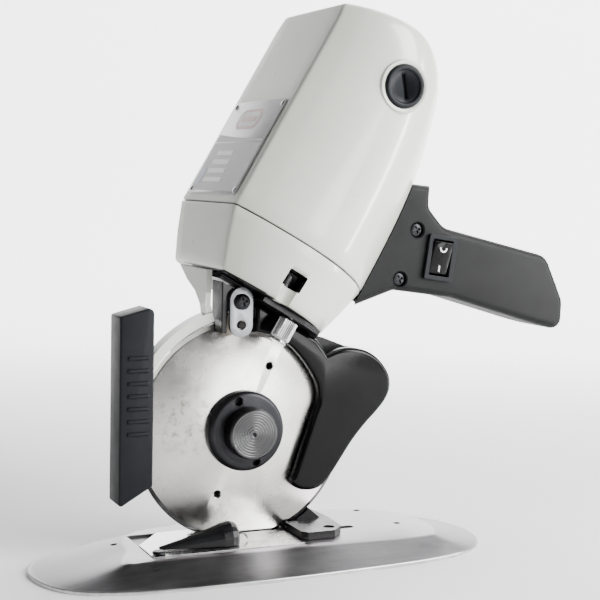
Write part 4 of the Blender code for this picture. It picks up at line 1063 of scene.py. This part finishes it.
def make_switch():
    """The rocker tips between its two ends, which carry a ring and a bar."""
    x, z = SWITCH_PLACE
    place = moved(BLADE_PLACE, (x, HANDLE_Y - HANDLE_HALF_WIDTH, z), Matrix.Rotation(SWITCH_LEAN, 4, "Y"))
    face = smooth_open([(-7.6, -1.0), (-4.0, -1.2), (0, -1.9), (4.0, -2.6), (7.6, -3.2)], 6)
    outline = [(-7.6, 2.2), *[tuple(p) for p in face], (7.6, 2.2)]
    rings = [[(x, y, z) for z, y in outline] for x in (-4.9, 4.9)]
    rocker = loft("rocker_cap", rings, place)
    round_edges(rocker, 0.35, 2, 45)
    piece(paint_with(rocker, "gloss_plastic"), "rocker", ["switch_rocker"])
    ring_place = moved(place, (0, -2.75, 4.6), Matrix.Rotation(math.radians(-9), 4, "X") @ TO_VIEWER)
    mark = [(1.25, -0.25), (1.95, -0.25), (1.95, 0.06), (1.25, 0.06)]
    ring = turned("off_mark", mark, ring_place, 40)
    piece(paint_with(ring, "ink_white"), "rocker")
    bar = box("on_mark", (-0.4, -0.06, -1.8), (0.4, 0.3, 1.8), Matrix())
    bar.matrix_world = moved(place, (0, -1.28, -4.6), Matrix.Rotation(math.radians(-5), 4, "X"))
    piece(paint_with(bar, "ink_white"), "rocker")


# ---------------------------------------------------------------- guards

GUARD_CORNERS = ((-59.5, 52.7, 1.2), (-44.4, 56.7, 2.4), (-44.4, -20.8, 1.2), (-59.5, -29.6, 1.2))
GUARD_NEAR = -8.0
GUARD_RIBS = 7
RIB_TOP = 35.0
RIB_PITCH = 5.45


def make_finger_guard():
    guard = plate("finger_guard_channel", [rounded(GUARD_CORNERS, 8)], GUARD_NEAR, 7.0, BLADE_PLACE)
    paint_with(guard, "black_plastic")
    round_edges(guard, 0.9, 3, 40)
    channel = [(-57.0, 50.5), (-38, 50.5), (-38, -25), (-57.0, -25)]
    cut(guard, plate("guard_channel_cutter", [channel], -5.8, 4.8, BLADE_PLACE))
    piece(guard, "finger_guard", ["finger_guard"])
    for i in range(GUARD_RIBS):
        z = RIB_TOP - RIB_PITCH * i
        low, high = (-56.2, GUARD_NEAR - 0.75, z - 0.9), (-46.6, GUARD_NEAR + 0.4, z + 0.9)
        rib = box(f"guard_rib_{i}", low, high, BLADE_PLACE)
        round_edges(rib, 0.55, 3)
        piece(paint_with(rib, "black_plastic"), "finger_guard")


REAR_GUARD_CURVE = (
    (38.4, 33.2), (42.8, 34.9), (48.5, 35.8), (54.5, 35.3), (60.5, 33.3), (66, 29.2), (70.2, 23.4),
    (71.3, 17.6), (69.4, 11.8), (64.9, 6.2), (58.8, 0.2), (52.4, -7.2), (46.7, -15.4), (41.8, -22.3),
    (37.9, -26.6), (34.4, -28.4), (30.5, -28.7), (26.4, -28.1), (23.2, -26.2), (22.4, -23.4), (24.2, -19.0),
    (28.8, -5.4), (32.6, 6.2), (34.6, 11.5), (34.9, 15.7), (33.6, 20.6), (29.6, 27.3), (24.6, 33.5),
    (19.6, 38.0), (13, 41.6), (7, 43.5), (3.0, 44.2),
)  # fmt: skip
REAR_GUARD_CORNERS = ((3.0, 57.6), (33.4, 40.0))
REAR_GUARD_NEAR = -5.8


def make_rear_guard():
    outline = [*smooth_open(REAR_GUARD_CURVE, 5), *REAR_GUARD_CORNERS]
    guard = plate("rear_guard_shield", [outline], REAR_GUARD_NEAR, -1.6, BLADE_PLACE)
    paint_with(guard, "gloss_plastic")
    soften_outer_rim(guard, REAR_GUARD_NEAR, 2.0)
    boss = rod("rear_guard_stud", 7, -2.9, 2.5, on_blade(56, 25), 48)
    join(guard, paint_with(boss, "gloss_plastic"))
    piece(guard, FRAME_BODY, ["rear_guard"])


# ---------------------------------------------------------------- sharpener

THUMB_ACROSS = 12.0
THUMB_Y = -28.0


def make_sharpener_link():
    radius = 5.3
    stadium = [
        *arc((LINK_X, LINK_TOP - 1), radius, 0, 180, 24), *arc((LINK_X, LINK_BOTTOM), radius, 180, 360, 24),
    ]  # fmt: skip
    holes = [circle((LINK_X, LINK_BOTTOM), 2.1, 36), circle((LINK_X, LINK_TOP - 2), 2.1, 36)]
    link = plate("sharpener_link_plate", [stadium, *holes], -12.2, -10.0, BLADE_PLACE)
    paint_with(round_edges(link, 0.45, 3, 45), "link_steel")
    piece(link, "sharpener_link", ["sharpener_link"])
    shank = [(0, 5), (1.7, 5), (1.7, 12.5)]
    head = [*shank, (3.5, 12.5), (3.5, 13.4), (3.3, 13.9), (2.7, 14.3), (1.8, 14.4), (0, 14.4)]
    place = on_blade(LINK_X, LINK_TOP - 2)
    screw = paint_with(turned("link_screw_head", head, place, 48), "dark_steel")
    cross_recess(screw, place, 14.4, 2.0, 0.5, 1.1, 15)
    piece(screw, FRAME_BODY, ["link_screw"])


def make_thumb_screw():
    """A thumb screw with 30 straight knurls."""
    knurls = 30
    stations = [
        (21.9, 1.6, 0), (19.8, 1.6, 0), (19.6, 1.9, 0), (19.6, 3.5, 0), (19.2, 4.0, 0.5), (18.6, 4.5, 1),
        (10.5, 4.5, 1), (10.1, 4.3, 0.6), (9.8, 3.8, 0), (9.5, 3.6, 0), (9.1, 3.9, 0), (8.5, 3.9, 0),
        (8.2, 3.6, 0),
    ]  # fmt: skip
    rings = []
    for along, radius, depth in stations:
        ring = []
        for k in range(knurls * 4):
            turn = 2 * math.pi * k / (knurls * 4)
            reach = radius - depth * 0.32 * (0.0, 0.5, 1.0, 0.5)[k % 4]
            ring.append((reach * math.cos(turn), reach * math.sin(turn), along))
        rings.append(ring)
    place = moved(MOTOR_PLACE, (THUMB_ACROSS, THUMB_Y, 0))
    screw = loft("thumb_screw_knurled", rings, place, smooth_angle=20)
    piece(paint_with(screw, "bright_steel"), "thumb_screw", ["thumb_screw"])


# ---------------------------------------------------------------- kept CAD nodes

KEPT_FINISH = {
    "black_casting": ("standard", "gear_case_cover", "knife_holder", "sharpener_block"),
    "cream_paint": ("guard_arm",),
    "black_plastic": ("switch_bezel", "power_inlet", "cooling_fan"),
    "throat_steel": ("throat_plate",),
    "bright_steel": ("lower_knife", "knife_spring", "sharpener_pin", "brush_spring_near", "brush_spring_far"),
    "dark_steel": ("throat_screw", "foot_screw_near", "foot_screw_far"),
    "gear_steel": (
        "armature_shaft", "bevel_pinion", "bevel_gear", "layshaft", "layshaft_pinion", "blade_spindle",
        "spindle_gear", "upper_bracket",
    ),
    "lamination": ("armature_core", "stator_core"),
    "copper": ("commutator", "field_coil_lower", "field_coil_upper"),
    "carbon": ("carbon_brush_near", "carbon_brush_far"),
    "stone": ("grinding_stone",),
    "brass": ("brush_holder_near", "brush_holder_far"),
}  # fmt: skip
EDGE_WIDTHS = {
    "standard": 0.9, "gear_case_cover": 0.6, "sharpener_block": 0.4, "guard_arm": 0.4, "throat_plate": 0.12,
}  # fmt: skip
PLAIN_EDGE = 0.25
PLAIN_NODES = ("knife_spring", "brush_spring_near", "brush_spring_far")


def finish_kept_nodes():
    """Gives the nodes that stay their materials, rounded edges and clean shading, as modifiers."""
    finish_of = {node: finish for finish, nodes in KEPT_FINISH.items() for node in nodes}
    for name in NODES:
        obj = bpy.data.objects[name]
        paint_with(obj, finish_of.get(name, "gear_steel"))
        if name in REPLACED or name in PLAIN_NODES:
            continue
        weld = obj.modifiers.new("weld", "WELD")
        weld.merge_threshold = 0.005 * MM
        add_flats(obj, 1.0)
        add_bevel(obj, EDGE_WIDTHS.get(name, PLAIN_EDGE), 2, 38)


# ---------------------------------------------------------------- stage


GLOW_NEAR = 0.12
GLOW_FAR = 3.0
SWEEP_FLOOR = 700
SWEEP_BEND = 500
SWEEP_TOP = 3000
SWEEP_HALF_WIDTH = 3500


def make_stage():
    """A pale sweep that turns up behind the object and glows there."""
    n = Nodes("studio_sweep")
    n.set(colour=n.ramp(n.noise(2.0, 2.0), ((0.3, 0.86), (0.7, 0.9))), roughness=0.9)
    facing = (0, 0, -math.radians(CAMERA_AZIMUTH))
    turn = n.add("ShaderNodeMapping", {"Rotation": facing}, {"Vector": n.coordinates})
    side, depth, height = n.add("ShaderNodeSeparateXYZ", links={"Vector": turn.outputs[0]}).outputs

    def fade(source, start, end):
        values = {"From Min": start, "From Max": end, "To Min": 0.0, "To Max": 1.0}
        node = n.add("ShaderNodeMapRange", values, {"Value": source}, interpolation_type="SMOOTHSTEP")
        return node.outputs[0]

    behind = fade(depth, 0.1, 1.0)
    inside = n.maths("MULTIPLY", fade(n.maths("ABSOLUTE", side), 1.1, 0.5), fade(height, 1.0, 0.5))
    glow = n.maths("MULTIPLY", n.maths("MULTIPLY", behind, inside), GLOW_FAR - GLOW_NEAR)
    n.tree.links.new(n.maths("ADD", glow, GLOW_NEAR), n.shader.inputs["Emission Strength"])
    n.shader.inputs["Emission Color"].default_value = (1.0, 1.0, 1.0, 1.0)
    turns = [math.pi / 2 * k / 16 for k in range(1, 17)]
    bend = [(SWEEP_FLOOR + SWEEP_BEND * math.sin(a), SWEEP_BEND - SWEEP_BEND * math.cos(a)) for a in turns]
    profile = [(-SWEEP_TOP, 0), (SWEEP_FLOOR, 0), *bend, (SWEEP_FLOOR + SWEEP_BEND, SWEEP_TOP)]
    bm = bmesh.new()
    azimuth = Matrix.Rotation(math.radians(CAMERA_AZIMUTH), 4, "Z")
    rows = []
    for away, height in profile:
        ends = (-SWEEP_HALF_WIDTH, SWEEP_HALF_WIDTH)
        rows.append([bm.verts.new(azimuth @ (Vector((side, away, height)) * MM)) for side in ends])
    for lower, upper in zip(rows, rows[1:]):
        bm.faces.new((lower[0], lower[1], upper[1], upper[0]))
    sweep = to_object("studio_sweep", bm, Matrix())
    sweep.data.materials.append(n.material)


def area_light(name, place, aim, size, watts):
    data = bpy.data.lights.new(name, "AREA")
    data.shape = "RECTANGLE"
    data.size, data.size_y = size
    data.energy = watts
    light = bpy.data.objects.new(name, data)
    direction = (Vector(aim) - Vector(place)).normalized()
    turn = direction.to_track_quat("-Z", "Y").to_matrix().to_4x4()
    light.matrix_world = Matrix.Translation(Vector(place)) @ turn
    light.visible_camera = False
    bpy.context.scene.collection.objects.link(light)
    return light


def strip_light(name, place, aim, size, watts):
    """A long narrow light whose length lies along the motor's axis, for the streak on the cover."""
    light = area_light(name, place, aim, size, watts)
    away = (Vector(place) - Vector(aim)).normalized()
    across = MOTOR_AXIS.cross(away).normalized()
    turn = Matrix((across, away.cross(across), away)).transposed().to_4x4()
    light.matrix_world = Matrix.Translation(Vector(place)) @ turn


def make_lights():
    aim = (0.02, 0.0, 0.12)
    area_light("key_right", (0.95, -0.95, 0.75), aim, (0.7, 0.9), 44)
    area_light("top_rear", (0.75, 0.35, 1.2), aim, (0.8, 0.8), 18)
    area_light("blade_front", (0.5, -1.15, 0.02), (0.0, 0.0, 0.06), (0.35, 0.5), 7)
    area_light("left_dim", (-1.2, -0.3, 0.5), aim, (0.5, 0.8), 1.0)
    strip_light("low_strip", (0.43, -0.2, 0.08), (0.06, -0.03, 0.18), (0.035, 0.42), 2.6)
    world = bpy.data.worlds.new("studio")
    world.use_nodes = True
    world.node_tree.nodes["Background"].inputs["Color"].default_value = (0.97, 0.98, 1.0, 1.0)
    world.node_tree.nodes["Background"].inputs["Strength"].default_value = 0.1
    bpy.context.scene.world = world


make_camera()
make_motor_cover()
make_brush_caps()
make_gear_housing()
make_nameplate()
make_shoe()
make_blade()
make_blade_clamp()
make_handle()
make_handle_screws()
make_switch()
make_finger_guard()
make_rear_guard()
make_sharpener_link()
make_thumb_screw()
finish_kept_nodes()
make_stage()
make_lights()
